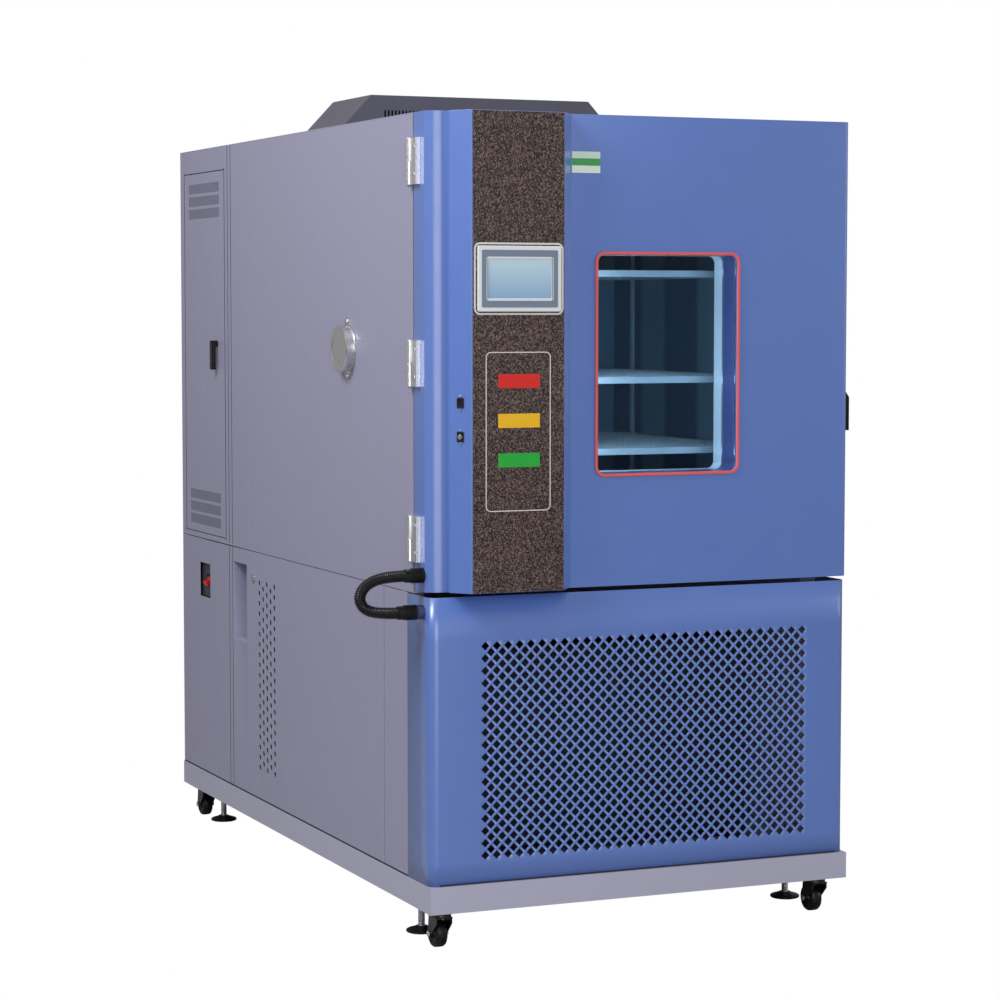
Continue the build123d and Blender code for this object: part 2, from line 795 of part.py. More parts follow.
def fan_motor():
    """Motor on the back of the insulated box, with its foot flange and a bore for the shaft."""
    z = floor_level + fan_z
    y0 = front + insulation_back
    body = rod_y(motor_radius, y0 + 8, y0 + motor_length, fan_x, z)
    body += block(fan_x - motor_radius - 20, fan_x + motor_radius + 20, y0, y0 + 8, z - motor_radius, z + motor_radius)
    return body - rod_y(fan_shaft_radius + running_clearance, y0 - 1, y0 + 21, fan_x, z)


def compressor():
    """Hermetic compressor: a turned shell on its stand and foot plate, with two pipe stubs."""
    x, y = compressor_x, front + compressor_y
    low, high = base_top + compressor_lift, base_top + compressor_height
    shoulder = compressor_radius - compressor_dome
    profile = [(0, low), (shoulder, low), (compressor_radius, low + compressor_dome),
               (compressor_radius, high - compressor_dome), (compressor_radius - compressor_dome / 3, high - compressor_dome / 3),
               (shoulder, high), (0, high)]
    shell = Pos(x, y, 0) * revolve(Plane.XZ * Polygon(*profile, align=None), axis=Axis.Z)
    foot = block(x - compressor_foot_x, x + compressor_foot_x, y - compressor_foot_y, y + compressor_foot_y,
                 base_top, base_top + compressor_foot_thickness)
    stand = rod_z(shoulder, base_top, low + 1, x, y)
    pipes = rod_z(pipe_radius, high - compressor_dome, high + pipe_reach, x + shoulder * 0.7, y)
    pipes += rod_x(pipe_radius, x + shoulder, x + compressor_radius + pipe_reach, y, (low + high) / 2)
    return shell + foot + stand + pipes


def condenser():
    """Condenser block behind the grille, with the fan shroud and the fan's bracket."""
    half = condenser_width / 2
    y0 = front + condenser_y
    z0 = base_top + condenser_lift
    z1 = z0 + condenser_height
    middle = (z0 + z1) / 2
    body = block(-half, half, y0, y0 + condenser_depth, z0, z1)
    for sign in (-1, 1):
        body += block(sign * half, sign * (half - 40), y0, y0 + condenser_depth, base_top, z0)
    y1 = y0 + condenser_depth
    y2 = y1 + shroud_depth
    shroud = block(-half, half, y1, y2, z0, z1)
    shroud -= block(-half + sheet, half - sheet, y1 - 1, y2 - sheet, z0 + sheet, z1 - sheet)
    shroud -= rod_y(condenser_fan_bore, y1, y2 + 1, 0, middle)
    body += shroud
    for z in (z0, z1 - fan_bracket):
        body += block(-fan_bracket / 2, fan_bracket / 2, y2, y2 + 70, z, z + fan_bracket)
    bar = block(-fan_bracket / 2, fan_bracket / 2, y2 + 50, y2 + 70, z0, z1)
    hub = rod_y(fan_hub_radius, y2 + 40, y2 + 100, 0, middle)
    body += bar + hub
    return body - rod_y(fan_shaft_radius + running_clearance, y2 + 39, y2 + 60, 0, middle)


def condenser_fan():
    """Axial fan with twisted blades on the condenser motor's shaft."""
    y2 = front + condenser_y + condenser_depth + shroud_depth
    middle = base_top + condenser_lift + condenser_height / 2
    y_mid = y2 + 2
    body = rod_y(fan_hub_radius, y_mid - 15, y_mid + 15, 0, middle)
    for index in range(condenser_fan_blades):
        blade = Rot(28, 0, 0) * block(fan_hub_radius - 8, condenser_fan_radius, -1.5, 1.5, -38, 38)
        body += Pos(0, y_mid, middle) * Rot(0, index * 360 / condenser_fan_blades, 0) * blade
    return body + rod_y(fan_shaft_radius, y_mid, y2 + 58, 0, middle)


def top_hood():
    """Folded hood over the air outlet on the roof, with upright slots in its front and back."""
    z0, z1 = body_top, body_top + hood_height

    def section(inset):
        slope = (hood_half_bottom - hood_half_top) / hood_height
        lean = inset * math.sqrt(1 + slope * slope)
        return [(-hood_half_bottom + lean, z0), (-hood_half_top + lean - slope * inset, z1 - inset),
                (hood_half_top - lean + slope * inset, z1 - inset), (hood_half_bottom - lean, z0)]

    y0, y1 = front + hood_front, front + hood_back
    body = extrude(Plane.XZ.offset(-y0) * Polygon(*section(0), align=None), amount=y1 - y0, dir=(0, 1, 0))
    body -= extrude(Plane.XZ.offset(-y0 - sheet) * Polygon(*section(sheet), align=None),
                    amount=y1 - y0 - 2 * sheet, dir=(0, 1, 0))
    slots = Sketch()
    middle = z0 + (hood_slot_low + hood_slot_high) / 2
    for index in range(hood_slots):
        x = (index - (hood_slots - 1) / 2) * hood_slot_pitch
        slots += Plane.XZ.offset(-y0 + 1) * Pos(x, middle) * Rectangle(hood_slot_width, hood_slot_high - hood_slot_low)
    return body - extrude(slots, amount=y1 - y0 + 2, dir=(0, 1, 0))


def port_flange():
    """Stainless eared flange with the tube that lines the wall opening."""
    y, z = front + port_y, floor_level + port_z
    tube_end = -cavity_width / 2
    outer = port_bore_radius + port_tube_wall
    plate = Plane.YZ.offset(-side - port_flange_thickness)
    outline = plate * Pos(y, z) * Circle(port_flange_radius)
    for sign in (-1, 1):
        outline += plate * Pos(y, z + sign * (port_ear_half_height - port_ear_radius)) * Circle(port_ear_radius)
    body = extrude(outline, amount=port_flange_thickness, dir=(1, 0, 0))
    body += rod_x(outer + 1, -side - port_flange_thickness - port_collar_height, -side, y, z)
    body += rod_x(outer, -side, tube_end, y, z)
    for sign in (-1, 1):
        body -= rod_x(2.5, -side - port_flange_thickness - 1, -side + 1, y, z + sign * (port_ear_half_height - 8))
    return body - rod_x(port_bore_radius, -side - port_flange_thickness - port_collar_height - 1, tube_end + 1, y, z)


def port_cap():
    """Stainless cap over the port's collar, with a plug that enters the bore."""
    y, z = front + port_y, floor_level + port_z
    seat = -side - port_flange_thickness - port_collar_height - seat_gap
    body = rod_x(port_cap_radius, seat - port_cap_height, seat, y, z)
    body -= rod_x(port_cap_radius - 10, seat - port_cap_height - 1, seat - port_cap_height + 1.5, y, z)
    plug = port_bore_radius - port_plug_clearance
    return body + rod_x(plug, seat, seat + port_plug_length, y, z)


def door_outline(grow):
    """Plan outline of the door: hinge side bevelled, free side rounded."""
    left, right = -side - grow, side + grow
    bevel = door_bevel_x + grow
    return [(left, front + door_back), (left, front + door_side_front - grow * 0.4),
            (-side + bevel - grow * 1.6, front + door_bevel_y - grow),
            (-side + door_step_x - grow * 0.4, front + door_bevel_y - grow),
            (-side + door_step_x + 15 - grow * 0.4, front + front_setback - grow),
            (right, front + front_setback - grow), (right, front + door_back)]


def door_solid(grow, z0, z1):
    body = column(door_outline(grow), z0, z1)
    corner = body.edges().filter_by(Axis.Z).sort_by(Axis.Y)[:2].sort_by(Axis.X)[-1]
    return fillet(corner, corner_radius / 2 + grow)


def door_skin():
    """Painted outer pan of the door, open at its back and for the window."""
    body = door_solid(0, door_foot, body_top)
    body -= door_solid(-sheet, door_foot + sheet, body_top - sheet) & block(
        -side, side, front, front + door_back, door_foot, body_top)
    body -= window_block(-trim_band, front - 10, front + 60)
    y, z = front + lever_y, floor_level + lever_z
    body -= rod_x(lever_spindle_radius + running_clearance, side - sheet - 1, side + 1, y, z)
    return body - rod_x(key_radius + running_clearance, side - sheet - 1, side + 1, y, floor_level + key_z)


def door_core():
    """Foam core, cut away for the window frame and for the lever's mechanism."""
    body = door_solid(-sheet, door_foot + sheet, body_top - sheet)
    body -= window_block(frame_sheet - trim_band, front - 10, front + door_back + 10)
    y = front + lever_y
    z0, z1 = floor_level + lever_z - 60, floor_level + key_z + 40
    return body - block(side - 45, side, y - 24, y + 24, z0, z1)


def plug_box(y0, y1, inset):
    low, high = cavity_levels()
    half = cavity_width / 2 - plug_gap - inset
    return block(-half, half, y0, y1, low + plug_gap + inset, high - plug_gap - inset)


def door_inner_panel():
    """Stainless inner skin with its raised plug that enters the cavity."""
    y0 = front + door_back
    back_face = block(-side + 4, side - 4, y0, y0 + inner_sheet, door_foot + 4, body_top - 4)
    body = back_face + plug_box(y0 + inner_sheet, y0 + plug_depth, 0)
    body -= plug_box(y0 - 1, y0 + plug_depth - inner_sheet, inner_sheet)
    return body - window_block(frame_sheet - trim_band, y0 - 1, y0 + plug_depth + 1)


def window_frame():
    """Tunnel frame through the door between the two panes, stainless at its inner end."""
    y0, y1 = front + front_setback + sheet, front + door_back + plug_depth
    body = window_block(frame_sheet - trim_band, y0, y1) - window_block(-trim_band, y0 - 1, y1 + 1)
    return body


def window_trim():
    """Red rubber bead round the window's outer edge."""
    y1 = front + front_setback
    return window_block(0, y1 - trim_proud, y1) - window_block(-trim_band, y1 - trim_proud - 1, y1 + 1)


def window_panes():
    """Outer and inner glass, each a rounded pane in the tunnel."""
    y0 = front + front_setback + pane_inset
    outer = window_block(-trim_band - seat_gap, y0, y0 + pane_thickness)
    y1 = front + front_setback + inner_pane_depth
    inner = window_block(-trim_band - seat_gap, y1, y1 + pane_thickness)
    return Compound([outer, inner])


def door_gasket():
    """Silicone seal round the plug, between the door and the cavity's flange."""
    low, high = cavity_levels()
    half = cavity_width / 2 + gasket_offset + gasket_width
    y0, y1 = front + door_back + inner_sheet, front + shell_front - seat_gap
    return ring_y(-half, half, low - gasket_offset - gasket_width, high + gasket_offset + gasket_width,
                  gasket_width, y0, y1)


def panel_cutout():
    """Half width and half height of the hole for the operator panel's body."""
    return screen_width / 2 + cutout_margin, screen_height / 2 + cutout_margin


def control_box():
    """Folded blue housing on the door's hinge side with slanted flanks, over the door's pan."""
    foot_y, face_y = front + front_setback, box_face_y()
    outer = column([(box_low_x, front + door_bevel_y), (box_low_x, foot_y), (box_low_x + box_flank, face_y),
                    (box_high_x - box_flank, face_y), (box_high_x, foot_y)], door_foot, body_top)
    inner = column([(box_low_x + flank_foot_wall, foot_y), (box_low_x + box_flank + flank_face_wall, face_y + sheet),
                    (box_high_x - box_flank - flank_face_wall, face_y + sheet), (box_high_x - flank_foot_wall, foot_y)],
                   door_foot + sheet, body_top - sheet)
    door_pan = door_solid(0, door_foot - 1, body_top + 1)
    half_w, half_h = panel_cutout()
    x, z = (box_low_x + box_high_x) / 2, floor_level + bezel_z
    cutout = block(x - half_w, x + half_w, face_y - 1, face_y + sheet + 1, z - half_h, z + half_h)
    return outer - door_pan - (inner - door_pan) - cutout


def box_face_y():
    return front + front_setback - box_reach


def control_fascia():
    """Speckled dark panel over the whole front of the control box."""
    y1 = box_face_y()
    y0 = y1 - fascia_thickness
    x0, x1 = box_low_x + box_flank + 2, box_high_x - box_flank - 2
    body = block(x0, x1, y0, y1, door_foot + 1, body_top - 1)
    x, z = (box_low_x + box_high_x) / 2, floor_level + bezel_z
    half_w, half_h = panel_cutout()
    return body - block(x - half_w, x + half_w, y0 - 1, y1 + 1, z - half_h, z + half_h)


def operator_bezel():
    """Frame of the touch panel with its body behind the fascia."""
    x, z = (box_low_x + box_high_x) / 2, floor_level + bezel_z
    face = box_face_y() - fascia_thickness
    body = block(x - bezel_width / 2, x + bezel_width / 2, face - bezel_thickness, face, z - bezel_height / 2,
                 z + bezel_height / 2)
    body = fillet(body.edges().filter_by(Axis.Y), 4)
    half_w, half_h = [size - seat_gap for size in panel_cutout()]
    body += block(x - half_w, x + half_w, face, face + panel_body_depth, z - half_h, z + half_h)
    pocket = block(x - screen_width / 2, x + screen_width / 2, face - bezel_thickness - 1,
                   face - bezel_thickness + screen_recess + 3, z - screen_height / 2, z + screen_height / 2)
    return body - pocket


def operator_screen():
    x, z = (box_low_x + box_high_x) / 2, floor_level + bezel_z
    face = box_face_y() - fascia_thickness - bezel_thickness + screen_recess
    return block(x - screen_width / 2, x + screen_width / 2, face, face + 3, z - screen_height / 2,
                 z + screen_height / 2)


def status_plates():
    """Red, amber and green status windows on the fascia."""
    x = (box_low_x + box_high_x) / 2
    y1 = box_face_y() - fascia_thickness
    plates = []
    for level in status_levels:
        z = floor_level + level
        plates.append(block(x - status_width / 2, x + status_width / 2, y1 - status_thickness, y1,
                            z - status_height / 2, z + status_height / 2))
    return Compound(plates)


def panel_sockets():
    """Two sockets on the control box's slanted left flank."""
    angle = math.degrees(math.atan2(box_flank, box_reach))
    x = box_low_x + box_flank / 2
    y = front + front_setback - box_reach / 2
    sockets = []
    for level in socket_levels:
        plate = block(-socket_thickness, 0, -socket_width / 2, socket_width / 2, -socket_height / 2,
                      socket_height / 2)
        plate -= block(-socket_thickness - 1, -socket_thickness + 2, -5, 5, -7, 7)
        sockets.append(Pos(x, y, floor_level + level) * Rot(0, 0, angle) * plate)
    return Compound(sockets)


def hinge_axis():
    return -side - hinge_axis_out, front + (door_back + shell_front) / 2


def hinge_body_leaves():
    """Body halves of the three hinges, each with the pin that the door half drops over."""
    x, y = hinge_axis()
    leaves = []
    for level in hinge_levels:
        low = floor_level + level - hinge_height / 2
        middle, high = low + hinge_height / 2, low + hinge_height
        leaf = block(-side - hinge_leaf, -side, y + hinge_radius + 1, y + hinge_body_reach, low, high)
        leaf += rod_z(hinge_radius, low, middle - hinge_gap, x, y)
        leaf += block(x, -side, y, y + hinge_radius + 2, low, middle - hinge_gap) - rod_z(
            hinge_radius - 0.01, low - 1, middle, x, y)
        leaf += rod_z(hinge_pin_radius, middle - hinge_gap - 1, high - 6, x, y)
        leaves.append(leaf)
    return Compound(leaves)


def hinge_door_leaves():
    """Door halves: a knuckle over the pin and the block bolted to the door's edge."""
    x, y = hinge_axis()
    leaves = []
    for level in hinge_levels:
        low = floor_level + level - hinge_height / 2
        middle, high = low + hinge_height / 2, low + hinge_height
        leaf = rod_z(hinge_radius, middle, high, x, y)
        leaf += block(-side - hinge_block_out, -side, front + hinge_block_low_y, y - hinge_radius - 1, low, high)
        leaf += block(x - hinge_radius / 2, -side - 1, y - hinge_radius - 1, y, middle, high)
        leaf -= rod_z(hinge_pin_radius + running_clearance, middle - 1, high - 5, x, y)
        leaves.append(leaf)
    return Compound(leaves)


def door_lever():
    """Black pull lever: boss on the door's edge, cranked arm, grip, and the cam inside."""
    y, z = front + lever_y, floor_level + lever_z
    half = lever_width / 2
    body = rod_x(lever_boss_radius, side + seat_gap, side + lever_boss_height, y, z)
    out0, out1 = side + lever_out - lever_thickness / 2, side + lever_out + lever_thickness / 2
    arm = [(side + seat_gap, z + 8), (side + 8, z + 12), (out1, z - lever_drop + 6), (out1, z - lever_drop),
           (out0, z - lever_drop), (side + 3, z - 6)]
    body += Pos(0, y - half, 0) * extrude(Plane.XZ * Polygon(*arm, align=None), amount=lever_width, dir=(0, 1, 0))
    grip = block(out0, out1, y - half, y + half, z - lever_drop - lever_grip_length, z - lever_drop)
    body += grip
    body += rod_x(lever_spindle_radius, side - 30, side + 1, y, z)
    return body + block(side - 36, side - 30, y - 8, y + 8, z - 10, z + 22)


def door_lock():
    """Keyed cylinder above the lever."""
    y, z = front + lever_y, floor_level + key_z
    body = rod_x(key_radius, side - 26, side + key_length, y, z)
    body += rod_x(key_radius + 3, side + seat_gap, side + 2, y, z)
    return body - block(side + key_length - 3, side + key_length + 1, y - 1, y + 1, z - 5, z + 5)


def gland(inner_x, level):
    """Ribbed hose connector standing out of the side."""
    y, z = front + gland_y, floor_level + level
    outer_x = inner_x - gland_length
    body = rod_x(gland_radius, outer_x + 12, inner_x, y, z)
    body += rod_x(gland_radius - 2, outer_x, outer_x + 12, y, z)
    return body


def door_hose_gland():
    return gland(-side, upper_gland_z)


def cabinet_hose_gland():
    y, z = front + gland_y, floor_level + lower_gland_z
    adapter = rod_x(adapter_radius, -side - adapter_length, -side, y, z)
    return adapter + gland(-side - adapter_length, lower_gland_z)


def hose_points():
    """Route of the hose: out of the upper gland, round a tight loop and back to the lower one."""
    start = (-side - gland_length, front + gland_y, floor_level + upper_gland_z)
    end = (-side - adapter_length - gland_length, front + gland_y, floor_level + lower_gland_z)
    points = [start]
    for along, out, rise in hose_route:
        points.append((start[0] - out, start[1] + along, start[2] + rise))
    points.append(end)
    return points


def door_hose():
    """Corrugated hose as a plain tube of its outer size."""
    points = [Vector(*p) for p in hose_points()]
    radii = []
    for before, here, after in zip(points, points[1:], points[2:]):
        run_in, run_out = here - before, after - here
        turn = math.radians(run_in.get_angle(run_out))
        radii.append(0.45 * min(run_in.length, run_out.length) / math.tan(turn / 2))
    route = FilletPolyline(*points, radius=radii)
    section = Plane(origin=points[0], z_dir=points[1] - points[0]) * Circle(hose_radius)
    tube = sweep(section, path=route)
    ideal = math.pi * hose_radius ** 2 * route.length
    print("hose radii", [round(r) for r in radii], "length", round(route.length), "volume share",
          round(tube.volume / ideal, 4))
    return tube


pieces = {
    "base_frame": base_frame(),
    "lower_front_panel": lower_front_panel(),
    "lower_side_panels": lower_side_panels(),
    "access_panel": access_panel(),
    "access_lock": access_lock(),
    "service_panels": service_panels(),
    "pressure_gauges": pressure_gauges(),
    "breaker_toggle": breaker_toggle(),
    "electrical_plate": electrical_plate(),
    "upper_left_panel": upper_left_panel(),
    "electrical_door": electrical_door(),
    "electrical_handle": electrical_handle(),
    "upper_casing": upper_casing(),
    "rear_panel": rear_panel(),
    "chamber_liner": chamber_liner(),
    "insulation": insulation(),
    "duct_panel": duct_panel(),
    "shelf_uprights": shelf_uprights(),
    "shelves": shelves(),
    "evaporator": evaporator(),
    "circulation_fan": circulation_fan(),
    "fan_motor": fan_motor(),
    "compressor": compressor(),
    "condenser": condenser(),
    "condenser_fan": condenser_fan(),
    "top_hood": top_hood(),
    "port_flange": port_flange(),
    "port_cap": port_cap(),
    "door_skin": door_skin(),
    "door_core": door_core(),
    "door_inner_panel": door_inner_panel(),
    "window_frame": window_frame(),
    "window_trim": window_trim(),
    "window_panes": window_panes(),
    "door_gasket": door_gasket(),
    "control_box": control_box(),
    "control_fascia": control_fascia(),
    "operator_bezel": operator_bezel(),
    "operator_screen": operator_screen(),
    "status_plates": status_plates(),
    "panel_sockets": panel_sockets(),
    "hinge_body_leaves": hinge_body_leaves(),
    "hinge_door_leaves": hinge_door_leaves(),
    "door_lever": door_lever(),
    "door_lock": door_lock(),
    "door_hose_gland": door_hose_gland(),
    "cabinet_hose_gland": cabinet_hose_gland(),
    "door_hose": door_hose(),
}
corner_names = ("front_left", "front_right", "rear_left", "rear_right")
for name, (x, y) in zip(corner_names, caster_places()):
    pieces["caster_swivel_" + name] = caster_swivel(x, y)
    pieces["caster_wheel_" + name] = caster_wheel(x, y)
for name, (x, y) in zip(corner_names, foot_places()):
    pieces["levelling_foot_" + name] = levelling_foot(x, y)

for node, shape in pieces.items():
    export_step(shape, "parts/" + node + ".step")
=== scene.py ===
import json
import math

import bmesh
import bpy
from mathutils import Matrix, Vector

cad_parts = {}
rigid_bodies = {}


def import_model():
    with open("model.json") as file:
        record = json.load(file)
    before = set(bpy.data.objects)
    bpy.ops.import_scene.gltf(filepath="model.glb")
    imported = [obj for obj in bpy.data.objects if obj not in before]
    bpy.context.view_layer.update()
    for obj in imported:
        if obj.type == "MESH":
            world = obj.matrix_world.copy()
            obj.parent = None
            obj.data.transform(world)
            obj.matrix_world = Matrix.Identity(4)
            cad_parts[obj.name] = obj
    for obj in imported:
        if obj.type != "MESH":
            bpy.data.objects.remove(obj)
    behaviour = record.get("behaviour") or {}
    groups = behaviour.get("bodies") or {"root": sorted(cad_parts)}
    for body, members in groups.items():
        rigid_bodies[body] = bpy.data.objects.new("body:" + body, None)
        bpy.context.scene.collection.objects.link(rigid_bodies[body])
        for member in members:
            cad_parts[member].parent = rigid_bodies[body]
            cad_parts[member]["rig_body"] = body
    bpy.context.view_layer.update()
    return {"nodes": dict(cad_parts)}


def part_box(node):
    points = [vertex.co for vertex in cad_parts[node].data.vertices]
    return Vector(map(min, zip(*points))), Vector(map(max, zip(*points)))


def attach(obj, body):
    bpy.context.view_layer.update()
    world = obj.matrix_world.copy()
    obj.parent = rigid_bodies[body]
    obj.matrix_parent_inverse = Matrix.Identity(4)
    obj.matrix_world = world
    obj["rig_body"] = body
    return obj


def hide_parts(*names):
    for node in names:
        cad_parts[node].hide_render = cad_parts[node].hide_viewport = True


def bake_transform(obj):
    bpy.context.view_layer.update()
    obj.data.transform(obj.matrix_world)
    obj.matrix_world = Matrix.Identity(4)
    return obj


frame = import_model()


# The photographer stood at the chamber's left front corner with a long lens at chest height,
# and the chamber stood on a white sweep under large soft lamps.
camera_place = (-2.7537, -6.5201, 1.4309)
camera_tilt = 4.03
camera_roll = -0.016
camera_turn = -23.21
lens_length = 99.62
film_width = 36

camera_data = bpy.data.cameras.new("camera")
camera_data.lens = lens_length
camera_data.sensor_width = film_width
camera = bpy.data.objects.new("camera", camera_data)
camera.location = camera_place
camera.rotation_euler = [math.radians(a) for a in (90 - camera_tilt, camera_roll, camera_turn)]
bpy.context.scene.collection.objects.link(camera)
bpy.context.scene.camera = camera
bpy.context.scene.view_settings.view_transform = "Standard"


def new_finish(name, colour, roughness, metallic=0.0, specular=0.5):
    finish = bpy.data.materials.new(name)
    finish.use_nodes = True
    shader = finish.node_tree.nodes["Principled BSDF"]
    shader.inputs["Base Color"].default_value = (*colour, 1)
    shader.inputs["Roughness"].default_value = roughness
    shader.inputs["Metallic"].default_value = metallic
    shader.inputs["Specular IOR Level"].default_value = specular
    return finish


def lamp(name, place, aim, size, watts):
    light = bpy.data.lights.new(name, "AREA")
    light.shape = "RECTANGLE"
    light.size, light.size_y = size
    light.energy = watts
    holder = bpy.data.objects.new(name, light)
    holder.location = place
    holder.rotation_euler = (Vector(aim) - Vector(place)).to_track_quat("-Z", "Y").to_euler()
    bpy.context.scene.collection.objects.link(holder)


lamp("front_lamp", place=(-1.2, -5.0, 1.7), aim=(-0.2, -0.9, 1.2), size=(2.6, 3.2), watts=78)
lamp("side_lamp", place=(-3.0, -1.4, 3.9), aim=(-0.5, 0, 1.9), size=(1.6, 1.6), watts=120)
lamp("right_lamp", place=(4.5, -3.5, 2.5), aim=(0, -0.5, 1.0), size=(2.0, 3.0), watts=40)
lamp("top_lamp", place=(0, 0, 5.0), aim=(0, 0, 0), size=(3.0, 4.0), watts=45)
lamp("window_lamp", place=(-0.10, -0.79, 1.3), aim=(0.234, -0.835, 1.3), size=(0.02, 0.45), watts=0.9)

world_light = 0.34
world = bpy.data.worlds.new("studio")
bpy.context.scene.world = world
world.use_nodes = True
sky = world.node_tree.nodes["Background"]
sky.inputs["Color"].default_value = (1, 1, 1, 1)
sky.inputs["Strength"].default_value = world_light

seen_only = world.node_tree.nodes.new("ShaderNodeLightPath").outputs["Is Camera Ray"]
white_level = world.node_tree.nodes.new("ShaderNodeMapRange")
white_level.inputs["To Min"].default_value = world_light
white_level.inputs["To Max"].default_value = 1.0
world.node_tree.links.new(seen_only, white_level.inputs["Value"])
world.node_tree.links.new(white_level.outputs["Result"], sky.inputs["Strength"])

floor_size = 40
bm = bmesh.new()
bmesh.ops.create_grid(bm, x_segments=1, y_segments=1, size=floor_size / 2)
floor_mesh = bpy.data.meshes.new("floor")
bm.to_mesh(floor_mesh)
bm.free()
floor = bpy.data.objects.new("floor", floor_mesh)
bpy.context.scene.collection.objects.link(floor)
floor_paint = new_finish("pale_sweep", (0.42, 0.42, 0.43), 0.7, specular=0.2)
floor_mesh.materials.append(floor_paint)
floor.visible_camera = False


# Corrugated rubber hose that carries the door's wires, looping out of the door's gland and back
# into the lower body. It is one ribbed tube, pushed over a plain sleeve at each end.
hose_width = 0.026
rib_pitch = 0.0042
rib_depth = 0.0016
hose_route = [(-0.5665, -0.8855, 0.838), (-0.6135, -0.8855, 0.838), (-0.6515, -0.8715, 0.821),
              (-0.6655, -0.8635, 0.791), (-0.6525, -0.8675, 0.764), (-0.6185, -0.8855, 0.757),
              (-0.5835, -0.8855, 0.757)]


def linear(red, green, blue):
    """A colour as a screen shows it, in 0 to 255, turned into light."""
    shares = [c / 255 for c in (red, green, blue)]
    return tuple(s / 12.92 if s < 0.04045 else ((s + 0.055) / 1.055) ** 2.4 for s in shares)


def node(finish, kind, settings=(), **inputs):
    """Adds a node to a finish, and sets or links its inputs by name."""
    tree = finish.node_tree
    made = tree.nodes.new(kind)
    for name, value in dict(settings).items():
        setattr(made, name, value)
    for name, value in inputs.items():
        socket = made.inputs[name.replace("_", " ")]
        if isinstance(value, bpy.types.NodeSocket):
            tree.links.new(value, socket)
        else:
            socket.default_value = value
    return made


def wire(finish, socket, name):
    shader = finish.node_tree.nodes["Principled BSDF"]
    finish.node_tree.links.new(socket, shader.inputs[name])


def place_of(finish, stretch=(1, 1, 1)):
    """The point on the object in metres, stretched along its axes."""
    point = node(finish, "ShaderNodeTexCoord").outputs["Object"]
    return node(finish, "ShaderNodeMapping", Vector=point, Scale=stretch).outputs["Vector"]


def clouds(finish, size, stretch=(1, 1, 1), detail=3):
    """Soft noise whose patches are about size metres across."""
    return node(finish, "ShaderNodeTexNoise", Vector=place_of(finish, stretch), Scale=1 / size,
                Detail=detail).outputs["Fac"]


def between(finish, value, low, high, first=0.3, last=0.7):
    """Turns a value's run from first to last into a run from low to high."""
    return node(finish, "ShaderNodeMapRange", Value=value, From_Min=first, From_Max=last, To_Min=low,
                To_Max=high).outputs["Result"]


def bumped(finish, height, depth):
    bump = node(finish, "ShaderNodeBump", Height=height, Distance=depth, Strength=1.0)
    wire(finish, bump.outputs["Normal"], "Normal")


def rubber(name, colour, roughness=0.55, grain=0.0015):
    finish = new_finish(name, colour, roughness, specular=0.3)
    wire(finish, between(finish, clouds(finish, 0.01), roughness - 0.12, roughness + 0.1), "Roughness")
    bumped(finish, clouds(finish, grain), 0.0001)
    return finish


def put(name, bm, finish, body, nodes=(), edge=0.0, steps=2, smooth=35):
    """Turns a mesh into a piece on its body, with eased edges and its finish."""
    mesh = bpy.data.meshes.new(name)
    bm.to_mesh(mesh)
    bm.free()
    piece = bpy.data.objects.new(name, mesh)
    bpy.context.scene.collection.objects.link(piece)
    mesh.materials.append(finish)
    mesh.shade_smooth()
    mesh.set_sharp_from_angle(angle=math.radians(smooth))
    if edge:
        ease = piece.modifiers.new("eased edges", "BEVEL")
        ease.width = edge
        ease.segments = steps
        ease.limit_method = "ANGLE"
        ease.angle_limit = math.radians(30)
        ease.harden_normals = True
    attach(piece, body)
    if nodes:
        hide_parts(*nodes)
    return piece


def smooth_line(points, steps=24):
    """The points of the smooth curve that a route gives."""
    curve = bpy.data.curves.new("route", "CURVE")
    curve.dimensions = "3D"
    curve.resolution_u = steps
    spline = curve.splines.new("NURBS")
    spline.points.add(len(points) - 1)
    for point, place in zip(spline.points, points):
        point.co = (*place, 1)
    spline.order_u = 3
    spline.use_endpoint_u = True
    line = bpy.data.objects.new("route", curve)
    mesh = bpy.data.meshes.new_from_object(line)
    places = [v.co.copy() for v in mesh.vertices]
    bpy.data.objects.remove(line)
    return places


def evenly(places, gap):
    """Points a fixed distance apart along a line."""
    kept, carried = [places[0]], 0.0
    for here, there in zip(places, places[1:]):
        run = (there - here).length
        while carried + run >= gap:
            here = here.lerp(there, (gap - carried) / run)
            kept.append(here.copy())
            run = (there - here).length
            carried = 0.0
        carried += run
    return kept


def ribbed_tube(places, radii, sides=28):
    """Rings square to a line, each with its own radius, bridged into one closed tube."""
    bm = bmesh.new()
    rings = []
    for index, (place, radius) in enumerate(zip(places, radii)):
        ahead = places[min(index + 1, len(places) - 1)] - places[max(index - 1, 0)]
        turn = ahead.to_track_quat("Z", "Y").to_matrix().to_4x4()
        is_end = index in (0, len(places) - 1)
        ring = bmesh.ops.create_circle(bm, cap_ends=is_end, segments=sides, radius=radius,
                                       matrix=Matrix.Translation(place) @ turn)["verts"]
        rings.append([e for e in {e for v in ring for e in v.link_edges} if all(w in ring for w in e.verts)])
    for first, second in zip(rings, rings[1:]):
        bmesh.ops.bridge_loops(bm, edges=first + second)
    bmesh.ops.recalc_face_normals(bm, faces=bm.faces)
    return bm


black_rubber = rubber("black_rubber", linear(13, 13, 15), 0.36)
hose_line = smooth_line(hose_route)
hose_stations = evenly(hose_line, rib_pitch / 4)
rib_wave = (0, 0, 1, 1)
hose_radii = [hose_width / 2 - rib_depth * rib_wave[i % 4] for i in range(len(hose_stations))]
hose_mesh = ribbed_tube(hose_stations, hose_radii)
hose = put("ribbed_door_hose", hose_mesh, black_rubber, "cabinet", ("door_hose",), smooth=60)
hose.parent = None
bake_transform(hose)


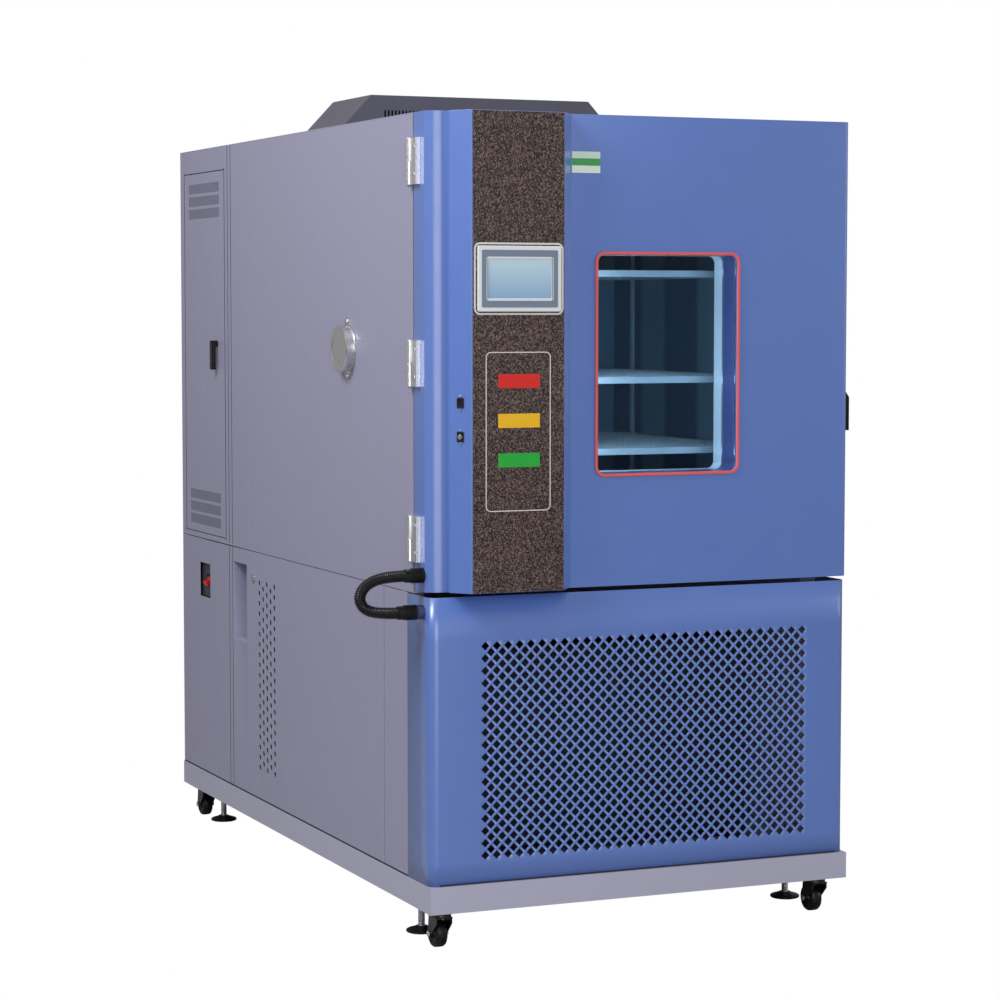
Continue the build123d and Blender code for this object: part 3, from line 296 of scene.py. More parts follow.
# Hose connectors: black nut and sleeve moulded in one, with a plain dark blue spacer behind the
# lower one. They screw into the door's edge and the lower body's flange.
gland_grooves = 5
nut_radius = 0.0172
sleeve_radius = 0.0152
blue_spacer_length = 0.017


def mixed(finish, share, first, second):
    """One colour or the other by a share."""
    ramp = node(finish, "ShaderNodeMix", {"data_type": "RGBA"})
    finish.node_tree.links.new(share, ramp.inputs["Factor"])
    for index, value in ((6, first), (7, second)):
        if isinstance(value, bpy.types.NodeSocket):
            finish.node_tree.links.new(value, ramp.inputs[index])
        else:
            ramp.inputs[index].default_value = (*value, 1)
    return ramp.outputs[2]


def powder_coat(name, colour, shade, roughness=0.42, coat=0.0):
    """Baked powder paint on sheet steel: a fine orange peel, faint clouds and duller rubbed patches."""
    finish = new_finish(name, colour, roughness)
    shader = finish.node_tree.nodes["Principled BSDF"]
    shader.inputs["Coat Weight"].default_value = coat
    shader.inputs["Coat Roughness"].default_value = 0.27
    shader.inputs["Coat IOR"].default_value = 1.6
    wire(finish, mixed(finish, clouds(finish, 0.35), colour, tuple(c * shade for c in colour)), "Base Color")
    wire(finish, between(finish, clouds(finish, 0.05), roughness - 0.06, roughness + 0.08), "Roughness")
    bumped(finish, clouds(finish, 0.0025, detail=2), 0.00012)
    return finish


def add_rod(bm, radius, start, end, sides=32, far_radius=None):
    start, end = Vector(start), Vector(end)
    turn = (end - start).to_track_quat("Z", "Y").to_matrix().to_4x4()
    far = radius if far_radius is None else far_radius
    return bmesh.ops.create_cone(bm, cap_ends=True, segments=sides, radius1=radius, radius2=far,
                                 depth=(end - start).length,
                                 matrix=Matrix.Translation((start + end) / 2) @ turn)["verts"]


def add_turned(bm, profile, start, along, sides=40):
    """Turns a profile of (distance, radius) pairs round the line from start along a direction."""
    quarter = Vector(along).normalized().to_track_quat("Z", "Y").to_matrix().to_4x4()
    place = Matrix.Translation(start) @ quarter
    corners = [bm.verts.new(place @ Vector((radius, 0, distance))) for distance, radius in profile]
    edges = [bm.edges.new(pair) for pair in zip(corners, corners[1:])]
    bmesh.ops.spin(bm, geom=corners + edges, cent=start, axis=along, angle=math.tau, steps=sides,
                   use_merge=True)
    bmesh.ops.remove_doubles(bm, verts=bm.verts, dist=1e-6)
    bmesh.ops.recalc_face_normals(bm, faces=bm.faces)


dark_blue = powder_coat("dark_blue_sleeve", linear(48, 58, 98), 0.85)


def add_gland(bm, wall_x, y, z, length):
    """Turned outline of a connector: flanged nut, knurled grip, then the hose sleeve."""
    profile = [(0, 0), (0, nut_radius), (0.007, nut_radius), (0.008, nut_radius - 0.002)]
    groove = (length - 0.024) / gland_grooves
    for index in range(gland_grooves):
        start = 0.009 + groove * index
        profile += [(start, nut_radius - 0.0005), (start + groove * 0.6, nut_radius - 0.0005),
                    (start + groove * 0.7, nut_radius - 0.0022), (start + groove * 0.95, nut_radius - 0.0022)]
    profile += [(length - 0.013, sleeve_radius), (length - 0.001, sleeve_radius - 0.0005), (length, 0.0134),
                (length, 0)]
    add_turned(bm, profile, (wall_x, y, z), (-1, 0, 0))


for gland_node, gland_body in (("door_hose_gland", "door"), ("cabinet_hose_gland", "cabinet")):
    low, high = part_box(gland_node)
    y, z = (low.y + high.y) / 2, (low.z + high.z) / 2
    wall = high.x
    bm = bmesh.new()
    if gland_body == "cabinet":
        add_rod(bm, nut_radius - 0.0012, (wall, y, z), (wall - blue_spacer_length, y, z))
        put("blue_gland_spacer", bm, dark_blue, gland_body, edge=0.0005)
        wall -= blue_spacer_length
        bm = bmesh.new()
    add_gland(bm, wall, y, z, wall - low.x)
    put(gland_node + "_ribbed", bm, black_rubber, gland_body, (gland_node,))


def form_of(cad_node):
    """The solid's own form, with its flat faces whole."""
    bm = bmesh.new()
    bm.from_mesh(frame["nodes"][cad_node].data)
    bmesh.ops.remove_doubles(bm, verts=bm.verts, dist=1e-5)
    bmesh.ops.dissolve_limit(bm, angle_limit=math.radians(0.5), verts=bm.verts, edges=bm.edges)
    return bm


def dressed(cad_node, finish, edge=0.0008, steps=2):
    """The solid's own form with its sharp edges eased, as bent and deburred sheet has them."""
    bm = form_of(cad_node)
    return put(cad_node + "_finished", bm, finish, frame["nodes"][cad_node]["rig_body"],
               (cad_node,), edge, steps)


skirt_paint = powder_coat("skirt_paint", linear(172, 172, 192), 0.93)
dressed("base_frame", skirt_paint, 0.0015)


# Twin-leg swivel casters with black nylon wheels, bolted under the skirt's corners. Each wheel has
# a rounded tread, a dished face and a bright axle nut.
nylon = rubber("black_nylon", linear(12, 12, 14), 0.38)
fork_steel = powder_coat("black_fork_paint", linear(13, 13, 15), 0.9, 0.35)
bright_steel = new_finish("bright_steel", (0.72, 0.72, 0.74), 0.22, metallic=1.0)
wire(bright_steel, between(bright_steel, clouds(bright_steel, 0.004), 0.16, 0.34), "Roughness")
tread_round = 0.006
hub_radius = 0.011
dish_depth = 0.004
rim_depth = 0.009
axle_end_radius = 0.0052
axle_nut_radius = 0.0075
axle_nut_sunk = 0.0035
corner_names = ("front_left", "front_right", "rear_left", "rear_right")

for corner in corner_names:
    low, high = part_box("caster_wheel_" + corner)
    axle = (low + high) / 2
    radius, half = (high.z - low.z) / 2, (high.x - low.x) / 2
    rim = radius - rim_depth
    profile = [(0.0, 0.005), (0.0, hub_radius), (dish_depth, hub_radius + 0.002), (dish_depth, rim - 0.003),
               (0.001, rim), (0.001, radius - tread_round), (0.0025, radius - 0.003),
               (0.006, radius - 0.0005)]
    far_side = [(2 * half - distance, r) for distance, r in reversed(profile)]
    bm = bmesh.new()
    add_turned(bm, profile + [(half, radius)] + far_side, (low.x, axle.y, axle.z), (1, 0, 0), 48)
    for end in (0.0, 2 * half):
        add_rod(bm, axle_end_radius, (low.x + end - 0.0001, axle.y, axle.z),
                (low.x + end + 0.0001, axle.y, axle.z), 24)
    put("wheel_tread_" + corner, bm, nylon, "wheel_" + corner, ("caster_wheel_" + corner,))
    dressed("caster_swivel_" + corner, fork_steel, 0.001)
    low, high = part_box("caster_swivel_" + corner)
    bm = bmesh.new()
    for x, out in ((low.x, 1), (high.x, -1)):
        add_rod(bm, axle_nut_radius, (x, axle.y, axle.z), (x + out * axle_nut_sunk, axle.y, axle.z), 6)
    put("axle_nuts_" + corner, bm, bright_steel, "swivel_" + corner, edge=0.0006)


# Levelling feet: a black rubber-faced pad on a zinc plated stem that screws through a nut welded
# in the skirt, with a lock nut under it.
thread_pitch = 0.002
thread_depth = 0.0008
stem_radius = 0.008
pad_height = 0.014
lock_nut_radius = 0.013
lock_nut_height = 0.008
lock_nut_top = 0.0795

for corner in corner_names:
    body = "foot_" + corner
    low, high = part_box("levelling_foot_" + corner)
    x, y = (low.x + high.x) / 2, (low.y + high.y) / 2
    pad = (high.x - low.x) / 2
    bm = bmesh.new()
    add_turned(bm, [(0, 0), (0, pad - 0.002), (0.0015, pad), (0.005, pad), (0.007, pad - 0.003),
                    (0.012, 0.016), (pad_height, 0.013), (pad_height, 0)], (x, y, low.z), (0, 0, 1), 48)
    put("foot_pad_" + corner, bm, nylon, body, ("levelling_foot_" + corner,))
    bm = bmesh.new()
    turns = int((high.z - low.z - 0.016) / thread_pitch)
    profile = [(0, 0), (0, stem_radius)]
    for turn in range(turns):
        profile += [((turn + 0.35) * thread_pitch, stem_radius),
                    ((turn + 0.7) * thread_pitch, stem_radius - thread_depth)]
    profile += [(turns * thread_pitch, stem_radius), (turns * thread_pitch, 0)]
    add_turned(bm, profile, (x, y, low.z + pad_height), (0, 0, 1), 20)
    add_rod(bm, lock_nut_radius, (x, y, lock_nut_top), (x, y, lock_nut_top - lock_nut_height), 6)
    put("foot_stem_" + corner, bm, bright_steel, body, edge=0.0004)


# Lower front cover: one blue sheet folded back at both sides with rounded corners, and punched
# with staggered diamonds as the condenser's air inlet. It hangs on the base and the posts.
blue = linear(82, 114, 187)
blue_paint = powder_coat("blue_paint", blue, 0.96, coat=1.0)
diamond_pitch = 0.0275
diamond_reach = 0.010
diamond_columns = 30
diamond_rows = 18
grille_middle_x = 0.008
grille_middle_z = 0.446
cover_corner = 0.022
sheet_thickness = 0.002
corner_steps = 8

low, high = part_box("lower_front_panel")
half_pitch = diamond_pitch / 2
grille_x = [grille_middle_x + half_pitch * i for i in range(-diamond_columns, diamond_columns + 1)]
grille_z = [grille_middle_z + half_pitch * i for i in range(-diamond_rows, diamond_rows + 1)]
lines_x = [low.x + cover_corner] + grille_x + [high.x - cover_corner]
lines_z = [low.z] + grille_z + [high.z]


def is_diamond(column, row):
    """Whether a hole is centred where two of the grille's lines cross."""
    inside = 0 < column < 2 * diamond_columns and 0 < row < 2 * diamond_rows
    return inside and column % 2 == row % 2


bm = bmesh.new()
for column in range(-1, len(grille_x)):
    for row in range(-1, len(grille_z)):
        x0, x1 = lines_x[column + 1], lines_x[column + 2]
        z0, z1 = lines_z[row + 1], lines_z[row + 2]
        corners = [(x0, z0, column, row), (x1, z0, column + 1, row), (x1, z1, column + 1, row + 1),
                   (x0, z1, column, row + 1)]
        outline = []
        for index, (x, z, i, j) in enumerate(corners):
            if not is_diamond(i, j):
                outline.append((x, z))
                continue
            for beside in (corners[index - 1], corners[(index + 1) % 4]):
                step_x, step_z = beside[0] - x, beside[1] - z
                share = diamond_reach / max(abs(step_x), abs(step_z))
                outline.append((x + step_x * share, z + step_z * share))
        bm.faces.new([bm.verts.new((x, low.y, z)) for x, z in outline])
bmesh.ops.remove_doubles(bm, verts=bm.verts, dist=1e-5)


def side_edges(x):
    return [e for e in bm.edges if all(abs(v.co.x - x) < 1e-5 for v in e.verts)]


for sign, x in ((-1, lines_x[0]), (1, lines_x[-1])):
    edges = side_edges(x)
    verts = list({v for e in edges for v in e.verts})
    bmesh.ops.spin(bm, geom=verts + edges, cent=(x, low.y + cover_corner, 0), axis=(0, 0, 1),
                   angle=sign * math.pi / 2, steps=corner_steps)
    edges = side_edges(x + sign * cover_corner)
    flange = bmesh.ops.extrude_edge_only(bm, edges=edges)["geom"]
    bmesh.ops.translate(bm, vec=(0, high.y - low.y - cover_corner, 0),
                        verts=[g for g in flange if isinstance(g, bmesh.types.BMVert)])
bmesh.ops.remove_doubles(bm, verts=bm.verts, dist=1e-5)
bmesh.ops.recalc_face_normals(bm, faces=bm.faces)
front_faces = [f for f in bm.faces if abs(f.calc_center_median().y - low.y) < 1e-4]
if front_faces[0].normal.y > 0:
    bmesh.ops.reverse_faces(bm, faces=bm.faces)
front_cover = put("front_grille_cover", bm, blue_paint, "cabinet", ("lower_front_panel",))
wall = front_cover.modifiers.new("sheet", "SOLIDIFY")
wall.thickness = sheet_thickness
wall.offset = -1


# Grey covers of folded sheet: the machine bay's strip behind the front cover, its right side, the
# strip with the gauge niche and the main switch's cover, the upper casing and the rear panel.
grey_paint = powder_coat("grey_paint", linear(149, 147, 172), 0.97)
for cad_node in ("lower_side_panels", "service_panels", "upper_casing", "rear_panel"):
    dressed(cad_node, grey_paint, 0.001)


# Joints between the covers of the left side, round the electrical bay's door and over the skirt:
# the shade in their narrow gaps is painted on flat dark strips a fifth of a millimetre proud of the sheet.
painted_shade_black = rubber("painted_gap_shade", linear(44, 44, 56), 0.8)
seam_width = 0.003
seam_proud = 0.0002
bay_seams_y = (0.4835, 0.5105)
bay_seam_levels = ((0.152, 0.790), (0.800, 1.850))
door_gap = (0.5365, 0.5403)
door_line = (0.8980, 0.9010)
door_levels = (0.803, 1.794)
base_gap = (0.1502, 0.1540)
side_run = (-0.7920, 0.9350)
front_half = 0.5
side_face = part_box("service_panels")[0].x
front_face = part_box("lower_front_panel")[0].y


def add_box(bm, low, high):
    size = [b - a for a, b in zip(low, high)]
    middle = [(a + b) / 2 for a, b in zip(low, high)]
    place = Matrix.Translation(middle) @ Matrix.Diagonal((*size, 1))
    return bmesh.ops.create_cube(bm, size=1, matrix=place)["verts"]


bm = bmesh.new()
for seam_y in bay_seams_y:
    for seam_low, seam_high in bay_seam_levels:
        add_box(bm, (side_face - seam_proud, seam_y - seam_width / 2, seam_low),
                (side_face, seam_y + seam_width / 2, seam_high))
add_box(bm, (side_face - seam_proud, door_gap[0], door_levels[0]),
        (side_face, door_gap[1], door_levels[1]))
add_box(bm, (side_face - seam_proud, side_run[0], base_gap[0]), (side_face, side_run[1], base_gap[1]))
add_box(bm, (-front_half, front_face - seam_proud, base_gap[0]), (front_half, front_face, base_gap[1]))
put("side_seams", bm, painted_shade_black, "cabinet")
bm = bmesh.new()
add_box(bm, (side_face - seam_proud, door_line[0], door_levels[0]),
        (side_face, door_line[1], door_levels[1]))
put("bay_door_seam", bm, painted_shade_black, "electrical_door_body")


# Lift-off access cover of the machine bay: a folded steel pan with a block of round vent holes. It
# is held by its hooks and a bright cam lock.
vent_columns = 5
vent_rows = 19
vent_pitch_y = 0.030
vent_pitch_z = 0.0267
vent_radius = 0.0075
vent_first_y = 0.1405
vent_first_z = 0.234


def punched(solid, cutter):
    """Takes the shapes of the holes out of a solid."""
    pair = []
    for bm in (solid, cutter):
        mesh = bpy.data.meshes.new("punch")
        bm.to_mesh(mesh)
        bm.free()
        pair.append(bpy.data.objects.new("punch", mesh))
        bpy.context.scene.collection.objects.link(pair[-1])
    change = pair[0].modifiers.new("holes", "BOOLEAN")
    change.operation = "DIFFERENCE"
    change.solver = "MANIFOLD"
    change.object = pair[1]
    seen = pair[0].evaluated_get(bpy.context.evaluated_depsgraph_get())
    result = bmesh.new()
    result.from_mesh(bpy.data.meshes.new_from_object(seen))
    for part in pair:
        bpy.data.objects.remove(part)
    return result


low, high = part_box("access_panel")
bm = bmesh.new()
add_box(bm, low, high)
hollow = bmesh.new()
add_box(hollow, (low.x + sheet_thickness, low.y + sheet_thickness, low.z + sheet_thickness),
        (high.x + 0.01, high.y - sheet_thickness, high.z - sheet_thickness))
bm = punched(bm, hollow)
holes = bmesh.new()
for column in range(vent_columns):
    for row in range(vent_rows - column % 2):
        y = vent_first_y + column * vent_pitch_y
        z = vent_first_z + (row + (column % 2) / 2) * vent_pitch_z
        add_rod(holes, vent_radius, (low.x - 0.01, y, z), (low.x + 0.01, y, z), 16)
lock_radius = 0.009
lock_above_cam = 0.012
lock_low, lock_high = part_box("access_lock")
lock_y = (lock_low.y + lock_high.y) / 2
lock_z = lock_low.z + lock_above_cam
add_rod(holes, lock_radius + 0.0005, (low.x - 0.01, lock_y, lock_z), (low.x + 0.01, lock_y, lock_z), 24)
put("access_cover", punched(bm, holes), grey_paint, "access_panel_body", ("access_panel",),
    edge=0.0006)
dressed("access_lock", bright_steel, 0.0006)


# Two pressure gauges of the refrigerant circuit in the niche: bright pressed cases with a glass
# over a white dial, on the niche's back wall.
gauge_radius = 0.023
dial_marks = 13
dial_sweep = 270
mark_inner = 0.014
mark_outer = 0.018
needle_turn = -1.1
dial_white = new_finish("dial_white", (0.8, 0.8, 0.78), 0.4)
wire(dial_white, between(dial_white, clouds(dial_white, 0.006), 0.34, 0.46), "Roughness")
dial_black = rubber("dial_black", linear(20, 20, 22), 0.5)
red_plastic = rubber("red_plastic", linear(190, 22, 20), 0.3, grain=0.003)

low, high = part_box("pressure_gauges")
gauge_y = (low.y + high.y) / 2
gauge_levels = (low.z + gauge_radius, high.z - gauge_radius)
cases, dials, marks = bmesh.new(), bmesh.new(), bmesh.new()
for level in gauge_levels:
    depth = high.x - low.x
    case = [(0, 0), (0, gauge_radius - 0.002), (0.004, gauge_radius - 0.001), (depth - 0.006, gauge_radius),
            (depth, gauge_radius), (depth + 0.001, gauge_radius - 0.002),
            (depth - 0.001, gauge_radius - 0.003), (depth - 0.004, gauge_radius - 0.0032),
            (depth - 0.004, 0)]
    add_turned(cases, case, (high.x, gauge_y, level), (-1, 0, 0))
    face = low.x + 0.0038
    add_rod(dials, gauge_radius - 0.0034, (face + 0.0004, gauge_y, level), (face, gauge_y, level), 36)
    for index in range(dial_marks):
        angle = math.radians(-dial_sweep / 2 + dial_sweep * index / (dial_marks - 1))
        verts = add_box(marks, (face - 0.0003, -0.0004, mark_inner), (face, 0.0004, mark_outer))
        turned = Matrix.Translation((0, gauge_y, level)) @ Matrix.Rotation(angle, 4, "X")
        bmesh.ops.transform(marks, matrix=turned, verts=verts)
    verts = add_box(marks, (face - 0.0009, -0.0006, -0.004), (face - 0.0005, 0.0006, 0.0155))
    turned = Matrix.Translation((0, gauge_y, level)) @ Matrix.Rotation(needle_turn, 4, "X")
    bmesh.ops.transform(marks, matrix=turned, verts=verts)
put("gauge_cases", cases, bright_steel, "cabinet", ("pressure_gauges",))
put("gauge_dials", dials, dial_white, "cabinet")
put("gauge_marks", marks, dial_black, "cabinet")


# Main switch behind its cover's window: a dark grey moulded body with a red handle, on the plate
# that carries the contactors.
breaker_grey = rubber("breaker_grey", linear(58, 60, 66), 0.45)
dressed("electrical_plate", breaker_grey, 0.0008)
dressed("breaker_toggle", red_plastic, 0.0015)


# Door of the electrical bay, a pressed pan on two pivot pins, with six blocks of fine upright
# vent slots and a black turning handle. The skin round it is one sheet with the cable port.
slot_count = 46
slot_width = 0.0036
slot_blocks = 3
block_pitch = 0.034
block_height = 0.026
block_width = 0.276
door_edge_rows = (1.759, 0.925)

dressed("upper_left_panel", grey_paint, 0.001)
low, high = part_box("electrical_door")
pin_reach = 0.005
bm = bmesh.new()
add_box(bm, (low.x, low.y, low.z + pin_reach), (high.x, high.y, high.z - pin_reach))
hollow = bmesh.new()
add_box(hollow, (low.x + sheet_thickness, low.y + sheet_thickness, low.z + pin_reach + sheet_thickness),
        (high.x + 0.01, high.y - sheet_thickness, high.z - pin_reach - sheet_thickness))
bm = punched(bm, hollow)
# Dark strips just behind each block of slots are painted shade, so the slots read dark.
slots, slot_shade = bmesh.new(), bmesh.new()
slot_shade_depth = 0.0004
for top in door_edge_rows:
    for block in range(slot_blocks):
        z = top - block * block_pitch
        add_box(slot_shade, (low.x + slot_shade_depth, (low.y + high.y - block_width) / 2, z - block_height),
                (low.x + slot_shade_depth + 0.0008, (low.y + high.y + block_width) / 2, z))
        for index in range(slot_count):
            y = (low.y + high.y) / 2 + (index - (slot_count - 1) / 2) * block_width / slot_count
            add_box(slots, (low.x - 0.01, y - slot_width / 2, z - block_height),
                    (low.x + 0.01, y + slot_width / 2, z))
bm = punched(bm, slots)
bmesh.ops.triangulate(bm, faces=bm.faces)
put("electrical_bay_door", bm, grey_paint, "electrical_door_body", ("electrical_door",))
put("vent_slot_shade", slot_shade, painted_shade_black, "electrical_door_body")
dressed("electrical_handle", black_rubber, 0.0015, 3)


# Folded hood over the roof's air outlet: front and back with fine upright slots, and plain
# sloping sides with two oblong holes low down. The whole hood is painted a dark grey that copies the
# shade on its front face: painted shade.
hood_slot_pitch = 0.0095
hood_slot_width = 0.0045
hood_slot_count = 56
hood_slot_height = 0.045
hood_slot_drop = 0.008
shoulder = 0.300
side_hole_x = 0.385
side_hole_inset = 0.045
hood_shade_grey = powder_coat("hood_shade_grey", linear(80, 79, 93), 0.94)

low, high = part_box("top_hood")
bm = bmesh.new()
verts = add_box(bm, low, high)
for vert in verts:
    if vert.co.z > (low.z + high.z) / 2:
        vert.co.x = math.copysign(shoulder, vert.co.x)
hollow = bmesh.new()
verts = add_box(hollow, (low.x + 0.003, low.y + sheet_thickness, low.z - 0.01),
                (high.x - 0.003, high.y - sheet_thickness, high.z - sheet_thickness))
for vert in verts:
    if vert.co.z > (low.z + high.z) / 2:
        vert.co.x = math.copysign(shoulder - 0.001, vert.co.x)
    else:
        vert.co.x += math.copysign(0.01, vert.co.x)
bm = punched(bm, hollow)
slots = bmesh.new()
slot_low = (low.z + high.z) / 2 - hood_slot_height / 2 - hood_slot_drop
for index in range(hood_slot_count):
    x = (index - (hood_slot_count - 1) / 2) * hood_slot_pitch
    add_box(slots, (x - hood_slot_width / 2, low.y - 0.01, slot_low),
            (x + hood_slot_width / 2, high.y + 0.01, slot_low + hood_slot_height))
for sign in (-1, 1):
    for y in (low.y + side_hole_inset, high.y - side_hole_inset):
        x = sign * side_hole_x
        add_box(slots, (x - 0.02, y - 0.012, low.z + 0.012), (x + 0.02, y + 0.012, low.z + 0.022))
put("roof_hood", punched(bm, slots), hood_shade_grey, "cabinet", ("top_hood",), edge=0.0008, steps=1)


# Cable port: a spun stainless cap with a shallow dish, on a collar with an eared flange held by
# two screws. The plug under the cap closes the tube through the wall.
def brushed(name, shade=0.62, roughness=0.3, stretch=(1, 1, 12)):
    """Brushed stainless steel: fine streaks across the stretched axis."""
    finish = new_finish(name, (shade, shade, shade * 1.01), roughness, metallic=1.0)
    streaks = clouds(finish, 0.0012, tuple(1 / s for s in stretch), detail=4)
    wire(finish, between(finish, streaks, roughness - 0.08, roughness + 0.14), "Roughness")
    bumped(finish, streaks, 0.00004)
    return finish


stainless = brushed("stainless", 0.66, 0.28)
spun_steel = brushed("spun_steel", 0.72, 0.2, (1, 6, 1))
low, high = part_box("port_cap")
port_y, port_z = (low.y + high.y) / 2, (low.z + high.z) / 2
cap_radius = (high.z - low.z) / 2
plug_radius = 0.0496
plug_length = 0.018
cap_front = plug_length + 0.009
cap_profile = [(0, 0), (0, plug_radius), (plug_length, plug_radius), (plug_length, cap_radius - 0.001),
               (plug_length + 0.001, cap_radius), (cap_front - 0.002, cap_radius),
               (cap_front, cap_radius - 0.0025), (cap_front, cap_radius - 0.008),
               (cap_front - 0.0015, cap_radius - 0.010), (cap_front - 0.0015, 0)]
bm = bmesh.new()
add_turned(bm, cap_profile, (high.x, port_y, port_z), (-1, 0, 0), 72)
put("spun_port_cap", bm, spun_steel, "port_cap_body", ("port_cap",))
dressed("port_flange", stainless, 0.0006)
screw_reach = 0.064
flange_behind_cap = 0.0123
flange_face = high.x - plug_length + flange_behind_cap
bm = bmesh.new()
for sign in (-1, 1):
    z = port_z + sign * screw_reach
    add_turned(bm, [(0, 0), (0, 0.0045), (0.0015, 0.0042), (0.0026, 0.003), (0.003, 0)],
               (flange_face, port_y, z), (-1, 0, 0), 20)
put("port_screws", bm, bright_steel, "cabinet")


# Inside the cavity: mirror-like stainless walls, painted dark blue with lighter wave bands as painted
# shade of the unlit cavity with painted reflections, and a lighter front flange; the perforated duct
# screen with its fan ring, darkened blue as painted shade; slotted uprights and three perforated shelves
# with folded front lips.
cavity_steel_shade_painted = brushed("cavity_steel_shade_painted", 0.2, 0.4, (1, 10, 1))
painted_reflection_bands = node(cavity_steel_shade_painted, "ShaderNodeTexWave", {"bands_direction": "Y"},
                  Vector=place_of(cavity_steel_shade_painted), Scale=1.0, Distortion=0.6).outputs["Fac"]
wall_shade_colour = mixed(cavity_steel_shade_painted, between(cavity_steel_shade_painted, painted_reflection_bands, 0, 1, 0.5, 0.75), (0.04, 0.12, 0.22),
                    (0.2, 0.33, 0.4))
flange_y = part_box("chamber_liner")[0].y + 0.003
depth = node(cavity_steel_shade_painted, "ShaderNodeSeparateXYZ", Vector=place_of(cavity_steel_shade_painted)).outputs["Y"]
wire(cavity_steel_shade_painted, mixed(cavity_steel_shade_painted, between(cavity_steel_shade_painted, depth, 0, 1, flange_y, flange_y + 0.001),
                         (0.5, 0.52, 0.54), wall_shade_colour), "Base Color")
duct_steel_shade_painted = brushed("duct_steel_shade_painted", 0.34, 0.42, (10, 1, 1))
shelf_steel = brushed("shelf_steel", 0.72, 0.42, (1, 10, 1))
# The liner's and the duct screen's tints are dark and blue as painted shade of the unlit cavity; the uprights
# keep a plain bright steel tint.
for cad_node, finish, tint, metal in (("chamber_liner", cavity_steel_shade_painted, (0.1, 0.2, 0.3), 0.4),
                                      ("duct_panel", duct_steel_shade_painted, (0.2, 0.33, 0.42), 0.5),
                                      ("shelf_uprights", shelf_steel, (0.7, 0.74, 0.76), 0.45)):
    shader = finish.node_tree.nodes["Principled BSDF"]
    shader.inputs["Base Color"].default_value = (*tint, 1)
    shader.inputs["Metallic"].default_value = metal
    dressed(cad_node, finish, 0.0006)

shelf_levels = {"lower_shelf": 1.1, "middle_shelf": 1.265, "upper_shelf": 1.511}
shelf_lip = 0.015
mesh_columns = 26
mesh_rows = 24
mesh_margin = 0.025
half_hole = 0.36
low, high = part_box("shelves")
step_x = (high.x - low.x - 2 * mesh_margin) / mesh_columns
step_y = (high.y - low.y - 2 * mesh_margin) / mesh_rows
for number, (name, level) in enumerate(shelf_levels.items()):
    bm = bmesh.new()
    add_box(bm, (low.x + 0.0015, low.y, level - shelf_lip), (high.x - 0.0015, high.y, level))
    hollow = bmesh.new()
    add_box(hollow, (low.x + 0.003, low.y + 0.0015, level - shelf_lip - 0.01),
            (high.x - 0.003, high.y - 0.0015, level - 0.0015))
    bm = punched(bm, hollow)
    holes = bmesh.new()
    for column in range(mesh_columns):
        for row in range(mesh_rows):
            x = low.x + mesh_margin + (column + 0.5) * step_x
            y = low.y + mesh_margin + (row + 0.5) * step_y
            add_box(holes, (x - step_x * half_hole, y - step_y * half_hole, level - 0.01),
                    (x + step_x * half_hole, y + step_y * half_hole, level + 0.01))
    replaced = ("shelves",) if number == 0 else ()
    put(name, punched(bm, holes), shelf_steel, "cabinet", replaced)


# Air circuit behind the duct screen: finned coil with copper hairpins, centrifugal wheel on the
# motor's shaft, and the motor on the back of the insulated box.
fin_metal = brushed("fin_aluminium", 0.7, 0.35, (1, 1, 8))
motor_black = powder_coat("motor_black", linear(34, 34, 38), 0.85, 0.4)
dressed("evaporator", fin_metal, 0.001)
dressed("circulation_fan", fin_metal, 0.001)
dressed("fan_motor", motor_black, 0.001)


# Moving parts of the machine bay: the condenser's bladed fan and the compressor's welded steel
# shell, both painted black.
dressed("condenser_fan", motor_black, 0.001)
dressed("compressor", motor_black, 0.001)


# Insulation between the liner and the casing: boards of pale foam, with a collar of the same
# foam round the cable port's tube.
foam_pale, foam_dark = linear(226, 218, 186), linear(205, 194, 158)
foam = new_finish("pale_foam", foam_pale, 0.85)
wire(foam, mixed(foam, clouds(foam, 0.05), foam_pale, foam_dark), "Base Color")
bumped(foam, clouds(foam, 0.004), 0.001)
dressed("insulation", foam, 0.001)


# Condenser behind the grille: a copper tube block with pressed aluminium fins, a black shroud
# and the fan's bracket.
dark_fins = new_finish("dark_fins", linear(64, 68, 76), 0.45, metallic=0.7)
fin_lines = node(dark_fins, "ShaderNodeTexWave", {"bands_direction": "X"}, Vector=place_of(dark_fins),
                 Scale=130.0, Distortion=0.4).outputs["Fac"]
wire(dark_fins, mixed(dark_fins, fin_lines, linear(22, 24, 28), linear(78, 82, 92)), "Base Color")
bumped(dark_fins, fin_lines, 0.0008)
dressed("condenser", dark_fins, 0.001)


# Door: a blue folded pan over a foam core, with a stainless inner skin whose raised plug enters
# the cavity, and a grey silicone seal round the plug.
silicone = rubber("grey_silicone", linear(196, 196, 196), 0.6)
rolled_line = Vector((-0.498, -0.9135))
rolled_radius = 0.013
bm = form_of("door_skin")
rolled = [e for e in bm.edges if all((v.co.xy - rolled_line).length < 1e-3 for v in e.verts)]
bmesh.ops.bevel(bm, geom=rolled, affect="EDGES", offset=rolled_radius, segments=8, profile=0.5)
put("door_skin_finished", bm, blue_paint, "door", ("door_skin",), 0.0018)
dressed("door_core", foam, 0.0)
dressed("door_inner_panel", stainless, 0.001)
dressed("door_gasket", silicone, 0.0015, 3)


